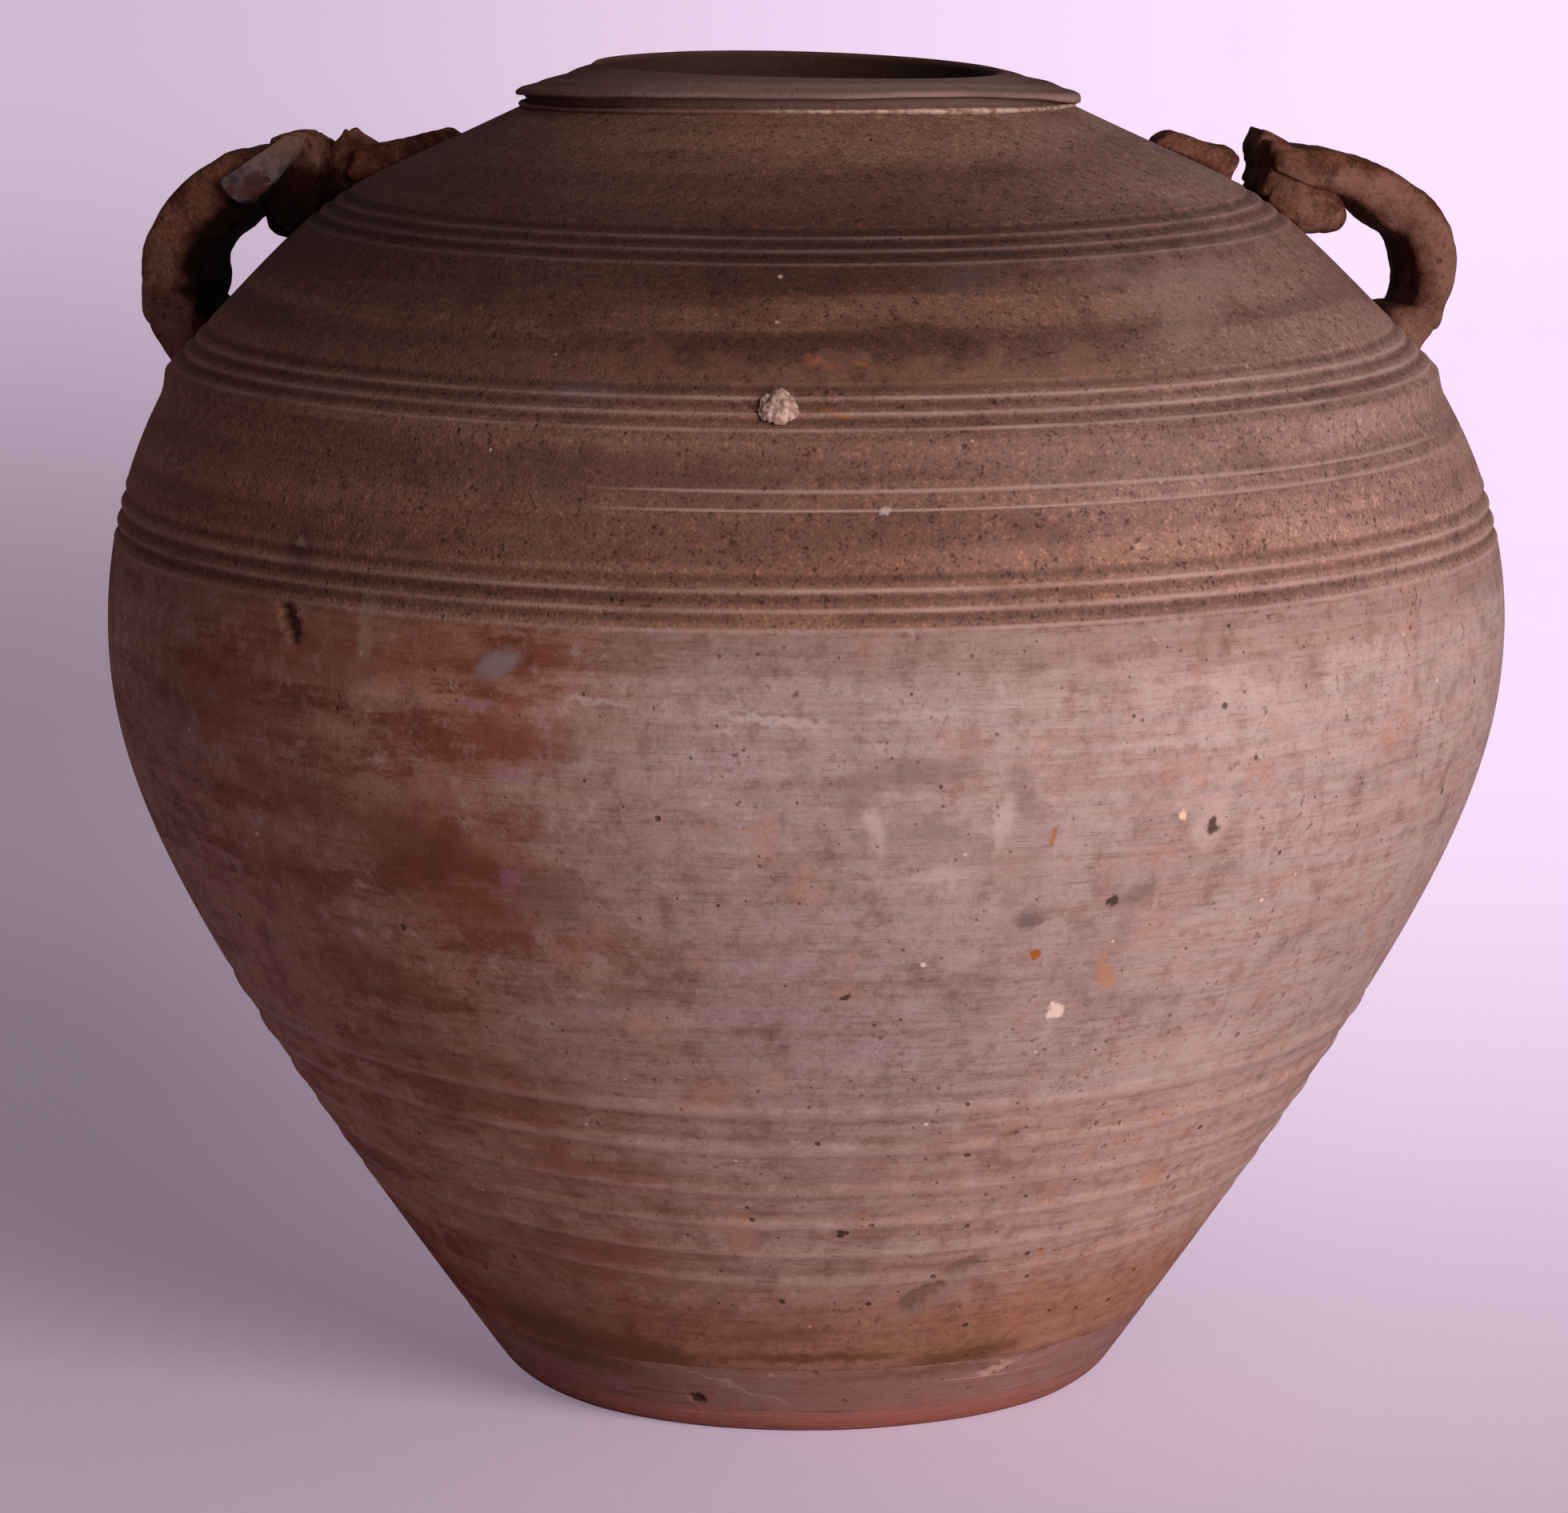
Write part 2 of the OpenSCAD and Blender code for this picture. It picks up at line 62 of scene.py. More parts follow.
camera_data = bpy.data.cameras.new("front_camera")
camera_data.sensor_fit = "HORIZONTAL"
camera_data.sensor_width = 36
camera_data.lens = camera_data.sensor_width * LENS_PIXELS / PHOTO_WIDE
camera = bpy.data.objects.new("front_camera", camera_data)
camera.location = CAMERA_PLACE
camera.rotation_euler = (math.radians(90 - CAMERA_DOWN), 0, 0)
bpy.context.scene.collection.objects.link(camera)
bpy.context.scene.camera = camera
bpy.context.scene.view_settings.view_transform = "Standard"
print("lens", round(camera_data.lens, 1), "mm for a frame of", PHOTO_WIDE, "by", PHOTO_TALL)

# %% [markdown]
# ## Helpers for shader nodes
# Every clay below is a small network of nodes. Four helpers keep the networks readable: one adds
# a node and wires its inputs, one does arithmetic, one makes a soft step, and one lays a colour
# over another through a mask.

# %% Node helpers
def wire(tree, value, socket):
    if isinstance(value, bpy.types.NodeSocket):
        tree.links.new(value, socket)
    else:
        socket.default_value = value


def add(tree, kind, settings=None, **inputs):
    step = tree.nodes.new("ShaderNode" + kind)
    for name, value in (settings or {}).items():
        setattr(step, name, value)
    for name, value in inputs.items():
        wire(tree, value, step.inputs[name.replace("_", " ")])
    return step


def sums(tree, operation, *values):
    step = tree.nodes.new("ShaderNodeMath")
    step.operation = operation
    for value, socket in zip(values, step.inputs):
        wire(tree, value, socket)
    return step.outputs[0]


def soft_step(tree, value, low, high):
    step = add(tree, "MapRange", {"interpolation_type": "SMOOTHSTEP"}, Value=value,
               From_Min=low, From_Max=high)
    return step.outputs[0]


def lay_over(tree, mask, under, over):
    step = tree.nodes.new("ShaderNodeMix")
    step.data_type = "RGBA"
    wire(tree, mask, step.inputs[0])
    wire(tree, under, step.inputs[6])
    wire(tree, over, step.inputs[7])
    return step.outputs[2]


def tint(tree, mask, under, over):
    mixed = lay_over(tree, mask, under, over)
    mixed.node.blend_type = "MULTIPLY"
    return mixed


def rgb(red, green, blue):
    return (red, green, blue, 1.0)


def new_group(name, inputs, outputs):
    tree = bpy.data.node_groups.new(name, "ShaderNodeTree")
    for socket_name, socket_type, value in inputs:
        socket = tree.interface.new_socket(socket_name, in_out="INPUT", socket_type=socket_type)
        if value is not None:
            socket.default_value = value
    for socket_name, socket_type in outputs:
        tree.interface.new_socket(socket_name, in_out="OUTPUT", socket_type=socket_type)
    return tree, tree.nodes.new("NodeGroupInput").outputs, tree.nodes.new("NodeGroupOutput").inputs


def use_group(tree, group, **inputs):
    step = tree.nodes.new("ShaderNodeGroup")
    step.node_tree = group
    for name, value in inputs.items():
        wire(tree, value, step.inputs[name.replace("_", " ")])
    return step.outputs


FLOAT, VECTOR, COLOUR = "NodeSocketFloat", "NodeSocketVector", "NodeSocketColor"

# %% [markdown]
# ## Shared effects
# All the clays come from one body of coarse stoneware, so the same few effects come back in each
# finish: where a point lies on the jar, sand in the clay, streaks from wiping, specks and pits,
# and single marks such as a stain or a chip. Each is a node group, built once and used with other
# values in each clay.

# %% Group: where a point lies on the jar
# Turn is the angle from the front in degrees, positive towards the right handle. Height above the
# floor and Across, to the right of the axis, are in mm. Noise of the size Rag Scale shifts all three
# by up to half of Ragged, in mm, so that marks drawn with them get ragged edges.
jar_place, place_in, place_out = new_group(
    "jar_place", [("Place", VECTOR, None), ("Ragged", FLOAT, 0.0), ("Rag Scale", FLOAT, 260.0)],
    [("Turn", FLOAT), ("Height", FLOAT), ("Across", FLOAT), ("Streak Place", VECTOR)])
split = add(jar_place, "SeparateXYZ", Vector=place_in["Place"]).outputs
angle = sums(jar_place, "ARCTAN2", split["X"], sums(jar_place, "MULTIPLY", split["Y"], -1.0))
ragged = add(jar_place, "TexNoise", Vector=place_in["Place"], Scale=place_in["Rag Scale"],
             Detail=4.0)
offset = sums(jar_place, "MULTIPLY", sums(jar_place, "SUBTRACT", ragged.outputs[0], 0.5),
              place_in["Ragged"])
tall_scale = sums(jar_place, "MULTIPLY", place_in["Rag Scale"], 1.2)
tall_noise = add(jar_place, "TexNoise", Vector=place_in["Place"], Scale=tall_scale, Detail=4.0)
tall_offset = sums(jar_place, "MULTIPLY", sums(jar_place, "SUBTRACT", tall_noise.outputs[0], 0.5),
                   place_in["Ragged"])
wire(jar_place, sums(jar_place, "MULTIPLY_ADD", angle, 180 / math.pi,
                     sums(jar_place, "MULTIPLY", offset, 0.3)), place_out["Turn"])
wire(jar_place, sums(jar_place, "MULTIPLY_ADD", split["Z"], 1000.0, tall_offset),
     place_out["Height"])
wire(jar_place, sums(jar_place, "MULTIPLY_ADD", split["X"], 1000.0, tall_offset),
     place_out["Across"])
stretched = add(jar_place, "VectorMath", {"operation": "MULTIPLY"})
wire(jar_place, place_in["Place"], stretched.inputs[0])
stretched.inputs[1].default_value = (1.0, 1.0, 22.0)
wire(jar_place, stretched.outputs[0], place_out["Streak Place"])
print("group", jar_place.name, "with", len(jar_place.nodes), "nodes")

# %% Group: sand in the clay
sand_grain, sand_in, sand_out = new_group(
    "sand_grain", [("Place", VECTOR, None), ("Grain", FLOAT, 900.0), ("Strength", FLOAT, 1.0)],
    [("Light", FLOAT), ("Dark", FLOAT), ("Height", FLOAT)])
fine = add(sand_grain, "TexNoise", Vector=sand_in["Place"], Scale=sand_in["Grain"], Detail=2.0)
coarse = add(sand_grain, "TexNoise", Vector=sand_in["Place"],
             Scale=sums(sand_grain, "MULTIPLY", sand_in["Grain"], 0.37), Detail=2.0)
mixed = sums(sand_grain, "MULTIPLY_ADD", fine.outputs[0], 0.6,
             sums(sand_grain, "MULTIPLY", coarse.outputs[0], 0.4))
light = sums(sand_grain, "MULTIPLY", soft_step(sand_grain, mixed, 0.52, 0.68), sand_in["Strength"])
dark = sums(sand_grain, "MULTIPLY", soft_step(sand_grain, mixed, 0.47, 0.32), sand_in["Strength"])
wire(sand_grain, light, sand_out["Light"])
wire(sand_grain, dark, sand_out["Dark"])
wire(sand_grain, mixed, sand_out["Height"])
print("group", sand_grain.name, "with", len(sand_grain.nodes), "nodes")

# %% Group: specks and pits
# Each cell of a Voronoi pattern holds at most one speck, and Share says how many cells do.
grit_specks, grit_in, grit_out = new_group(
    "grit_specks", [("Place", VECTOR, None), ("Cells", FLOAT, 80.0), ("Size", FLOAT, 0.1),
                    ("Share", FLOAT, 0.3)], [("Mask", FLOAT)])
cells = add(grit_specks, "TexVoronoi", Vector=grit_in["Place"], Scale=grit_in["Cells"])
cell_mix = add(grit_specks, "SeparateColor", Color=cells.outputs["Color"]).outputs
held = sums(grit_specks, "LESS_THAN", cell_mix["Red"], grit_in["Share"])
speck_size = sums(grit_specks, "MULTIPLY", grit_in["Size"],
                  sums(grit_specks, "MULTIPLY_ADD", cell_mix["Green"], 0.8, 0.35))
round_off = soft_step(grit_specks, cells.outputs["Distance"], speck_size,
                      sums(grit_specks, "MULTIPLY", speck_size, 0.6))
wire(grit_specks, sums(grit_specks, "MULTIPLY", held, round_off), grit_out["Mask"])
print("group", grit_specks.name, "with", len(grit_specks.nodes), "nodes")

# %% Group: one mark at a stated place
spot_mark, spot_in, spot_out = new_group(
    "spot_mark", [("Turn", FLOAT, 0.0), ("Height", FLOAT, 0.0), ("At Turn", FLOAT, 0.0),
                  ("At Height", FLOAT, 0.0), ("Radius", FLOAT, 190.0), ("Half Width", FLOAT, 5.0),
                  ("Half Height", FLOAT, 5.0), ("Tilt", FLOAT, 0.0), ("Softness", FLOAT, 0.3)],
    [("Mask", FLOAT)])
across = sums(spot_mark, "MULTIPLY", sums(spot_mark, "SUBTRACT", spot_in["Turn"],
                                          spot_in["At Turn"]),
              sums(spot_mark, "MULTIPLY", spot_in["Radius"], math.pi / 180))
upward = sums(spot_mark, "SUBTRACT", spot_in["Height"], spot_in["At Height"])
tilt = sums(spot_mark, "RADIANS", spot_in["Tilt"])
tilt_cos = sums(spot_mark, "COSINE", tilt)
tilt_sin = sums(spot_mark, "SINE", tilt)
length_way = sums(spot_mark, "MULTIPLY_ADD", across, tilt_cos,
                  sums(spot_mark, "MULTIPLY", upward, tilt_sin))
width_way = sums(spot_mark, "SUBTRACT", sums(spot_mark, "MULTIPLY", upward, tilt_cos),
                 sums(spot_mark, "MULTIPLY", across, tilt_sin))
reach = sums(spot_mark, "SQRT", sums(
    spot_mark, "ADD",
    sums(spot_mark, "POWER", sums(spot_mark, "DIVIDE", length_way, spot_in["Half Width"]), 2.0),
    sums(spot_mark, "POWER", sums(spot_mark, "DIVIDE", width_way, spot_in["Half Height"]), 2.0)))
wire(spot_mark, soft_step(spot_mark, reach, sums(spot_mark, "ADD", 1.0, spot_in["Softness"]),
                          sums(spot_mark, "SUBTRACT", 1.0, spot_in["Softness"])),
     spot_out["Mask"])
print("group", spot_mark.name, "with", len(spot_mark.nodes), "nodes")

# %% [markdown]
# ## The turned wall
# A potter's wheel makes a body of revolution, so the wall is one outline turned round the axis.
# The outline repeats the curves of the imported solids, in millimetres. Bézier curves are used
# because four points say how full a belly is.

# %% Outline of the wall
BASE_R, BELLY_R, BELLY_Z = 86.5, 200.0, 219.0
SHOULDER_R, SHOULDER_Z = 181.5, 291.0
NECK_R, NECK_Z, MOUTH_R = 80.0, 364.0, 57.0
WALL, FLOOR_T, FOOT_H, FOOT_BEVEL = 10.0, 14.0, 22.0, 2.0
FLANK_ANGLE, FLANK_PULL = 54.5, 165.0
BELLY_PULL_LOW, BELLY_PULL_HIGH = 43.0, 38.0
SIDE_ANGLE, SIDE_PULL, SHOULDER_EDGE_H, SHOULDER_EDGE_IN = 110.0, 3.0, 6.0, 1.0
SHOULDER_ANGLE, SHOULDER_PULL, NECK_ANGLE, NECK_PULL = 46.5, 80.0, 25.5, 65.0
BELLY_JOIN_Z, SIDE_JOIN_Z = 129.0, 240.0
JOIN_DEPTH, JOIN_LAND = 3.0, 2.0


def along(angle):
    return np.array([math.cos(math.radians(angle)), math.sin(math.radians(angle))])


def bezier(points, steps):
    t = np.linspace(0, 1, steps + 1)[:, None]
    a, b, c, d = (np.asarray(point, float) for point in points)
    return (1 - t) ** 3 * a + 3 * (1 - t) ** 2 * t * b + 3 * (1 - t) * t ** 2 * c + t ** 3 * d


foot, belly = np.array([BASE_R, 0]), np.array([BELLY_R, BELLY_Z])
shoulder, neck = np.array([SHOULDER_R, SHOULDER_Z]), np.array([NECK_R, NECK_Z])
side_top = shoulder + [SHOULDER_EDGE_IN, -SHOULDER_EDGE_H]
MOUTH_Z = NECK_Z + (NECK_R - MOUTH_R) * math.tan(math.radians(NECK_ANGLE))
mouth = np.array([MOUTH_R, MOUTH_Z])
flank = bezier([foot, foot + FLANK_PULL * along(FLANK_ANGLE), belly - [0, BELLY_PULL_LOW], belly],
               400)
side = bezier([belly, belly + [0, BELLY_PULL_HIGH], side_top - SIDE_PULL * along(SIDE_ANGLE),
               side_top], 150)
dome = bezier([shoulder, shoulder + SHOULDER_PULL * along(180 - SHOULDER_ANGLE),
               neck + NECK_PULL * along(-NECK_ANGLE), neck], 260)
outline = np.vstack([flank, side[1:], dome, mouth])
steps_along = np.hypot(*np.diff(outline, axis=0).T)
outline_s = np.concatenate([[0], np.cumsum(steps_along)])


def s_at(z):
    """Distance along the outline from the foot's edge up to height z."""
    return np.interp(z, outline[:, 1], outline_s)


def point_at(s):
    return np.stack([np.interp(s, outline_s, outline[:, 0]),
                     np.interp(s, outline_s, outline[:, 1])], -1)


def outward_at(s):
    way = point_at(np.asarray(s) + 1.5) - point_at(np.asarray(s) - 1.5)
    way /= np.linalg.norm(way, axis=-1, keepdims=True)
    return np.stack([way[..., 1], -way[..., 0]], -1)


inside = np.vstack([(curve - WALL * outward_at(s_at(curve[:, 1])))[first:]
                    for curve, first in ((flank, 0), (side, 0), (dome, 40))])
inside = inside[inside[:, 1].argsort()]

# %% [markdown]
# ## What the hands and tools left on the wall
# Turning leaves ridges and a comb leaves grooves, and neither is quite level. Each function here
# gives a height above or below the plain wall, for a place along the outline and a turn round it.
# The values are real sizes in millimetres, and a few seeded waves make them drift.

# %% Drifting lines, grooves and ridges
COMB_TEETH, COMB_PITCH, GROOVE_W = 3, 5.2, 3.8
GROOVE_DEPTHS = (0.5, 0.38, 0.32)
COMB_BANDS = (246.5, 295.5, 334.5)
RIDGES = (52.0, 61.5, 71.5, 82.0, 95.0, 107.0)
RIDGE_HEIGHTS = (0.2, 0.3, 0.32, 0.4, 0.48, 0.5)
RIDGE_HALVES = (1.3, 1.4, 1.5, 1.6, 2.0, 2.3)
RIDGE_LIFT_LEFT, RIDGE_LIFT_RIGHT = 11.0, 5.0
HAIRLINES = (274.0, 278.5)
LINE_HALF = 0.6
CHIPS = ((-44, 238.3, 6.6, 2.6, -56, 2.2), (15, 46.5, 8.5, 3.6, 38, 0.8), (20, 55.5, 6.5, 3.2, 32, 0.7),
         (-19, 11, 2.4, 1.4, -10, 1.2), (-6, 266, 1.3, 1.0, 0, 0.6), (41, 20, 9, 2.0, 14, 0.5))
STAMP = (10, 191, 20, 15, 0)


def drift(turn, seed, size, waves=(2, 3, 5, 8, 13)):
    random = np.random.default_rng(seed)
    total = np.zeros_like(turn)
    for count in waves:
        total += random.normal() * np.cos(np.radians(turn) * count + random.uniform(0, 6.28)) / count
    return size * total


def near(distance, half):
    """1 on a line and 0 further than half from it, with a round top."""
    return np.clip(1 - (distance / half) ** 2, 0, None)


def between(value, low, high):
    t = np.clip((value - low) / (high - low), 0, 1)
    return t * t * (3 - 2 * t)


def oval(s, turn, at_turn, at_z, wide, tall, tilt):
    """Distance from the middle of a tilted, ragged oval: 1 on its edge."""
    middle = s_at(at_z)
    across, up = np.radians(turn - at_turn) * point_at(middle)[0], s - middle
    c, q = along(tilt)
    ragged = 0.1 * np.sin(1.3 * across + 0.9 * up) + 0.08 * np.sin(2.1 * up - 0.7 * across)
    return np.hypot((across * c + up * q) / wide, (up * c - across * q) / tall) + ragged


def groove_lines(band, turn):
    """The middle of each groove of a band, as a distance along the outline."""
    path = s_at(COMB_BANDS[band]) + drift(turn, 10 + band, 0.35) + drift(turn, 20 + band, 0.5, (17, 29))
    return [path + tooth * COMB_PITCH for tooth in range(COMB_TEETH)]


def lifted_comb(band, tooth, turn):
    """How deep the comb bites: it was lifted for a moment at the front of the lowest groove."""
    if band == 0 and tooth == 0:
        return 1 - 0.85 * between(turn, -6.5, -4.5) * between(turn, 3.5, 1.5)
    return np.ones_like(turn)


def ridge_line(index, turn):
    lift = np.where(turn < 0, RIDGE_LIFT_LEFT, RIDGE_LIFT_RIGHT)
    level = RIDGES[index] + lift * 0.5 * (1 - np.cos(np.radians(2 * turn)))
    return s_at(level) + drift(turn, 40 + index, 0.6)


def relief(s, turn):
    height = np.zeros(np.broadcast_shapes(s.shape, turn.shape))
    for band in range(len(COMB_BANDS)):
        lines = groove_lines(band, turn)
        for tooth, line in enumerate(lines):
            bite = lifted_comb(band, tooth, turn) * (1 + drift(turn, 60 + band, 0.12))
            height -= GROOVE_DEPTHS[band] * bite * near(s - line, GROOVE_W / 2) ** 0.8
            height += 0.15 * near(s - line - COMB_PITCH / 2, 0.6)
        height += 0.15 * near(s - lines[0] + COMB_PITCH / 2, 0.6)
    for index, (high, half) in enumerate(zip(RIDGE_HEIGHTS, RIDGE_HALVES)):
        line = ridge_line(index, turn)
        height += high * near(s - line, half) ** 0.7 * (1 + drift(turn, 80 + index, 0.25))
        height -= 0.25 * near(s - line - half - 2.2, 2.5)
    for at_turn, at_z, wide, tall, tilt, depth in CHIPS:
        height -= depth * between(oval(s, turn, at_turn, at_z, wide, tall, tilt), 1.1, 0.65)
    height -= 0.3 * near(oval(s, turn, *STAMP) - 1, 0.22)
    for line in HAIRLINES:
        height -= 0.3 * near(s - s_at(line) - drift(turn, int(line), 0.3), LINE_HALF)
    return height


def worn(s, turn):
    """Where edges turn pale, partly rubbed and partly as a painted highlight: beside the grooves, most on
    the lit side, on the ridges and along the hairlines.
    """
    pale = np.zeros(np.broadcast_shapes(s.shape, turn.shape))
    lit_side = 0.5 + 0.5 * between(turn, -35, 20)
    for band, (share, patch_seed) in enumerate(((1.0, 5), (0.85, 6), (0.35, 7))):
        lines = groove_lines(band, turn)
        for index, line in enumerate([lines[0] - COMB_PITCH] + lines[:-1]):
            patchy = np.clip(0.75 + drift(turn, patch_seed + 4 * index, 2.2, (13, 23, 37, 61, 97)), 0.15, 1)
            pale = np.maximum(pale, share * lit_side * patchy * near(s - line - COMB_PITCH / 2, 0.8))
    patchy = np.clip(0.85 + drift(turn, 5, 0.8, (7, 11, 19, 31)), 0.2, 1)
    for index, half in enumerate(RIDGE_HALVES):
        pale = np.maximum(pale, 0.6 * patchy * near(s - ridge_line(index, turn), half * 0.7))
    shown = between(turn, -20, -8) * between(turn, 75, 62)
    for line in HAIRLINES:
        pale = np.maximum(pale, 0.9 * shown * near(s - s_at(line) - drift(turn, int(line), 0.3), 0.5))
    return pale


def dirt_and_shade(s, turn):
    """Where dust and soot stay: on the floor of each groove."""
    dark = np.zeros(np.broadcast_shapes(s.shape, turn.shape))
    for band in range(len(COMB_BANDS)):
        for tooth, line in enumerate(groove_lines(band, turn)):
            darkening = 0.5 * near(s - line - 0.5, 1.6) * lifted_comb(band, tooth, turn)
            dark = np.maximum(dark, darkening)
    for at_turn, at_z, wide, tall, tilt, depth in CHIPS:
        inside_chip = between(oval(s, turn, at_turn, at_z, wide, tall, tilt), 1.05, 0.75)
        dark = np.maximum(dark, min(0.7, depth / 2) * inside_chip)
    return dark


print("grooves", GROOVE_DEPTHS, "mm deep, ridges", RIDGE_HEIGHTS, "mm high")

# %% [markdown]
# ## How the whole pot moved
# Wet clay sags and leans. The dome stands a little to the left of the foot, the neck rises at the
# front, the rings aren't quite round, and the foot is worn. These moves take whole rings along, so
# they are applied to the inside and the outside alike, and they only ever lead inwards from the
# solids' box.

# %% Lean, wobble and worn foot
LEAN = 2.6
FRONT_RISE = 3.5
OUT_OF_ROUND = 0.55


def lean_at(z):
    return -LEAN * between(z, BELLY_Z, 345)


def front_rise(z, turn):
    return FRONT_RISE * between(z, 338, NECK_Z) * ((1 + np.cos(np.radians(turn))) / 2) ** 3


def wobble(z, turn):
    slow = np.cos(np.radians(2 * turn) + z / 70) + 0.5 * np.cos(np.radians(3 * turn) + 1 + z / 45)
    return OUT_OF_ROUND * (slow / 1.5 - 1)


def worn_foot(z, turn):
    rounded = -2.2 * np.clip(1 - z / 5, 0, 1) ** 2
    chipped = 0.6 * np.minimum(drift(turn, 3, 1.0, (4, 7, 9, 15)), 0) * np.clip(1 - z / 9, 0, 1)
    line = -0.2 * near(z - FOOT_H - drift(turn, 32, 0.8), 1.6) * (1 + drift(turn, 31, 0.8))
    return rounded + chipped + line


def turned_mesh(name, r, z, turn):
    """Closes rings of points into a mesh. Rows run round the section, columns round the axis."""
    rows, columns = r.shape
    x = r * np.sin(np.radians(turn)) + lean_at(z)
    y = -r * np.cos(np.radians(turn))
    vertices = np.stack([x, y, z], -1).reshape(-1, 3) * MM
    row, column = np.meshgrid(np.arange(rows), np.arange(columns), indexing="ij")
    next_row, next_column = (row + 1) % rows, (column + 1) % columns
    faces = np.stack([row * columns + column, row * columns + next_column,
                      next_row * columns + next_column, next_row * columns + column], -1)
    mesh = bpy.data.meshes.new(name)
    mesh.vertices.add(len(vertices))
    mesh.vertices.foreach_set("co", vertices.ravel())
    corners = faces.reshape(-1, 4)
    mesh.loops.add(corners.size)
    mesh.loops.foreach_set("vertex_index", corners.ravel())
    mesh.polygons.add(len(corners))
    mesh.polygons.foreach_set("loop_start", np.arange(len(corners)) * 4)
    mesh.polygons.foreach_set("loop_total", np.full(len(corners), 4))
    mesh.update(calc_edges=True)
    mesh.shade_smooth()
    mesh.set_sharp_from_angle(angle=math.radians(50))
    return mesh


def paint(mesh, name, values):
    layer = mesh.attributes.new(name, "FLOAT", "POINT")
    layer.data.foreach_set("value", values.astype(np.float32).ravel())


def show(name, mesh, node):
    piece = bpy.data.objects.new(name, mesh)
    bpy.context.scene.collection.objects.link(piece)
    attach(piece, "root")
    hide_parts(node)
    return piece


print("the dome leans", LEAN, "mm to the left")

# %% [markdown]
# ## Turning the rings
# Each ring of the wall is a closed shell: its skin outside, the scored joins above and below, and
# the inside with the finger rings that were never smoothed. Rows lie half a millimetre apart on
# combed bands and further apart on plain wall, and columns are closest at the front, where the
# carved marks are. That keeps every piece under 200,000 triangles.

# %% Rings of the wall
COLUMNS = 640
even = np.arange(COLUMNS) * 360 / COLUMNS - 180
turn = (even - np.degrees(0.5 * np.sin(np.radians(even))))[None, :]
FINE_ZONES = [(z - 4.5, z + 17.5, 0.55) for z in COMB_BANDS] + [(0, 24, 1.0), (46, 122, 1.1),
                                                              (228, 246, 1.1), (271, 281, 0.6)]
PLAIN_ROW = 2.8


def rows_between(z_low, z_high):
    """Distances along the outline, close together where there is something to show."""
    s, end = float(s_at(z_low)), float(s_at(z_high))
    rows = [s]
    while s < end:
        z = float(point_at(s)[1])
        gap = min([step for low, high, step in FINE_ZONES if low <= z <= high], default=PLAIN_ROW)
        s = min(s + gap, end)
        rows.append(s)
    if rows[-1] - rows[-2] < 0.2:
        rows.pop(-2)
    return np.array(rows)


def finger_rings(z, turn):
    return 0.5 * np.cos(z / 2.2 + np.radians(turn) + 0.5 * np.sin(z / 9))


def skin_rows(s):
    base, out = point_at(s)[:, None, :], outward_at(s)[:, None, :]
    moved = base + out * relief(s[:, None], turn)[..., None]
    r = moved[..., 0] + wobble(base[..., 1], turn) + worn_foot(base[..., 1], turn)
    return r, moved[..., 1] + front_rise(base[..., 1], turn)


def inner_rows(points):
    base = np.asarray(points)[:, None, :]
    z = base[..., 1] + 0 * turn
    return base[..., 0] + wobble(z, turn) + finger_rings(z, turn), z + front_rise(z, turn)


def join_rows(points):
    base = np.asarray(points)[:, None, :]
    z = base[..., 1] + 0 * turn
    return base[..., 0] + wobble(z, turn), z + front_rise(z, turn)


def join_face(z):
    """The scored V across the wall at a join, from outside to inside."""
    outer_r, inner_r = point_at(s_at(z))[0], np.interp(z, inside[:, 1], inside[:, 0])
    return [(outer_r - JOIN_LAND, z), ((outer_r + inner_r) / 2, z - JOIN_DEPTH),
            (inner_r + JOIN_LAND, z)]


def inside_between(z_low, z_high, gap=3.0):
    """Points of the inner face, from the top down."""
    z = np.linspace(z_high, z_low, max(2, int((z_high - z_low) / gap)))
    return np.stack([np.interp(z, inside[:, 1], inside[:, 0]), z], -1)


def turn_ring(name, z_low, z_high, top, bottom, inner):
    s = rows_between(z_low, z_high)
    parts = [skin_rows(s), join_rows(top), inner_rows(inner)]
    if bottom:
        parts.append(join_rows(bottom))
    r, z = (np.vstack([part[k] for part in parts]) for k in (0, 1))
    mesh = turned_mesh(name, r, z, turn)
    rest = np.zeros((len(r) - len(s), COLUMNS))
    paint(mesh, "worn", np.vstack([worn(s[:, None], turn), rest]))
    paint(mesh, "dirt_and_shade", np.vstack([dirt_and_shade(s[:, None], turn), rest]))
    print(name, "rows", len(r), "triangles", 2 * len(mesh.polygons))
    return show(name + "_skin", mesh, name)


inner_foot_r = float(np.interp(FLOOR_T, inside[:, 1], inside[:, 0]))
lower_wall = turn_ring("lower_wall", FOOT_H, BELLY_JOIN_Z, join_face(BELLY_JOIN_Z),
                       [], inside_between(FLOOR_T, BELLY_JOIN_Z))
belly_wall = turn_ring("belly_wall", BELLY_JOIN_Z, SIDE_JOIN_Z,
                       join_face(SIDE_JOIN_Z), join_face(BELLY_JOIN_Z)[::-1],
                       inside_between(BELLY_JOIN_Z, SIDE_JOIN_Z))
shoulder_face = [(SHOULDER_R - JOIN_LAND, SHOULDER_Z),
                 (SHOULDER_R - WALL / 2, SHOULDER_Z - JOIN_DEPTH),
                 (SHOULDER_R - WALL + JOIN_LAND, SHOULDER_Z)]
upper_side_wall = turn_ring("upper_side_wall", SIDE_JOIN_Z, SHOULDER_Z,
                            shoulder_face, join_face(SIDE_JOIN_Z)[::-1],
                            inside_between(SIDE_JOIN_Z, SHOULDER_Z))

# %% [markdown]
# ## The foot and the dome
# The foot disc closes the pot below: its skin is worn round where it was dragged over floors, and
# its floor keeps the spiral of the fingers. The dome runs from the shoulder's angle to the neck,
# where the lip collar sits on a plain cone.

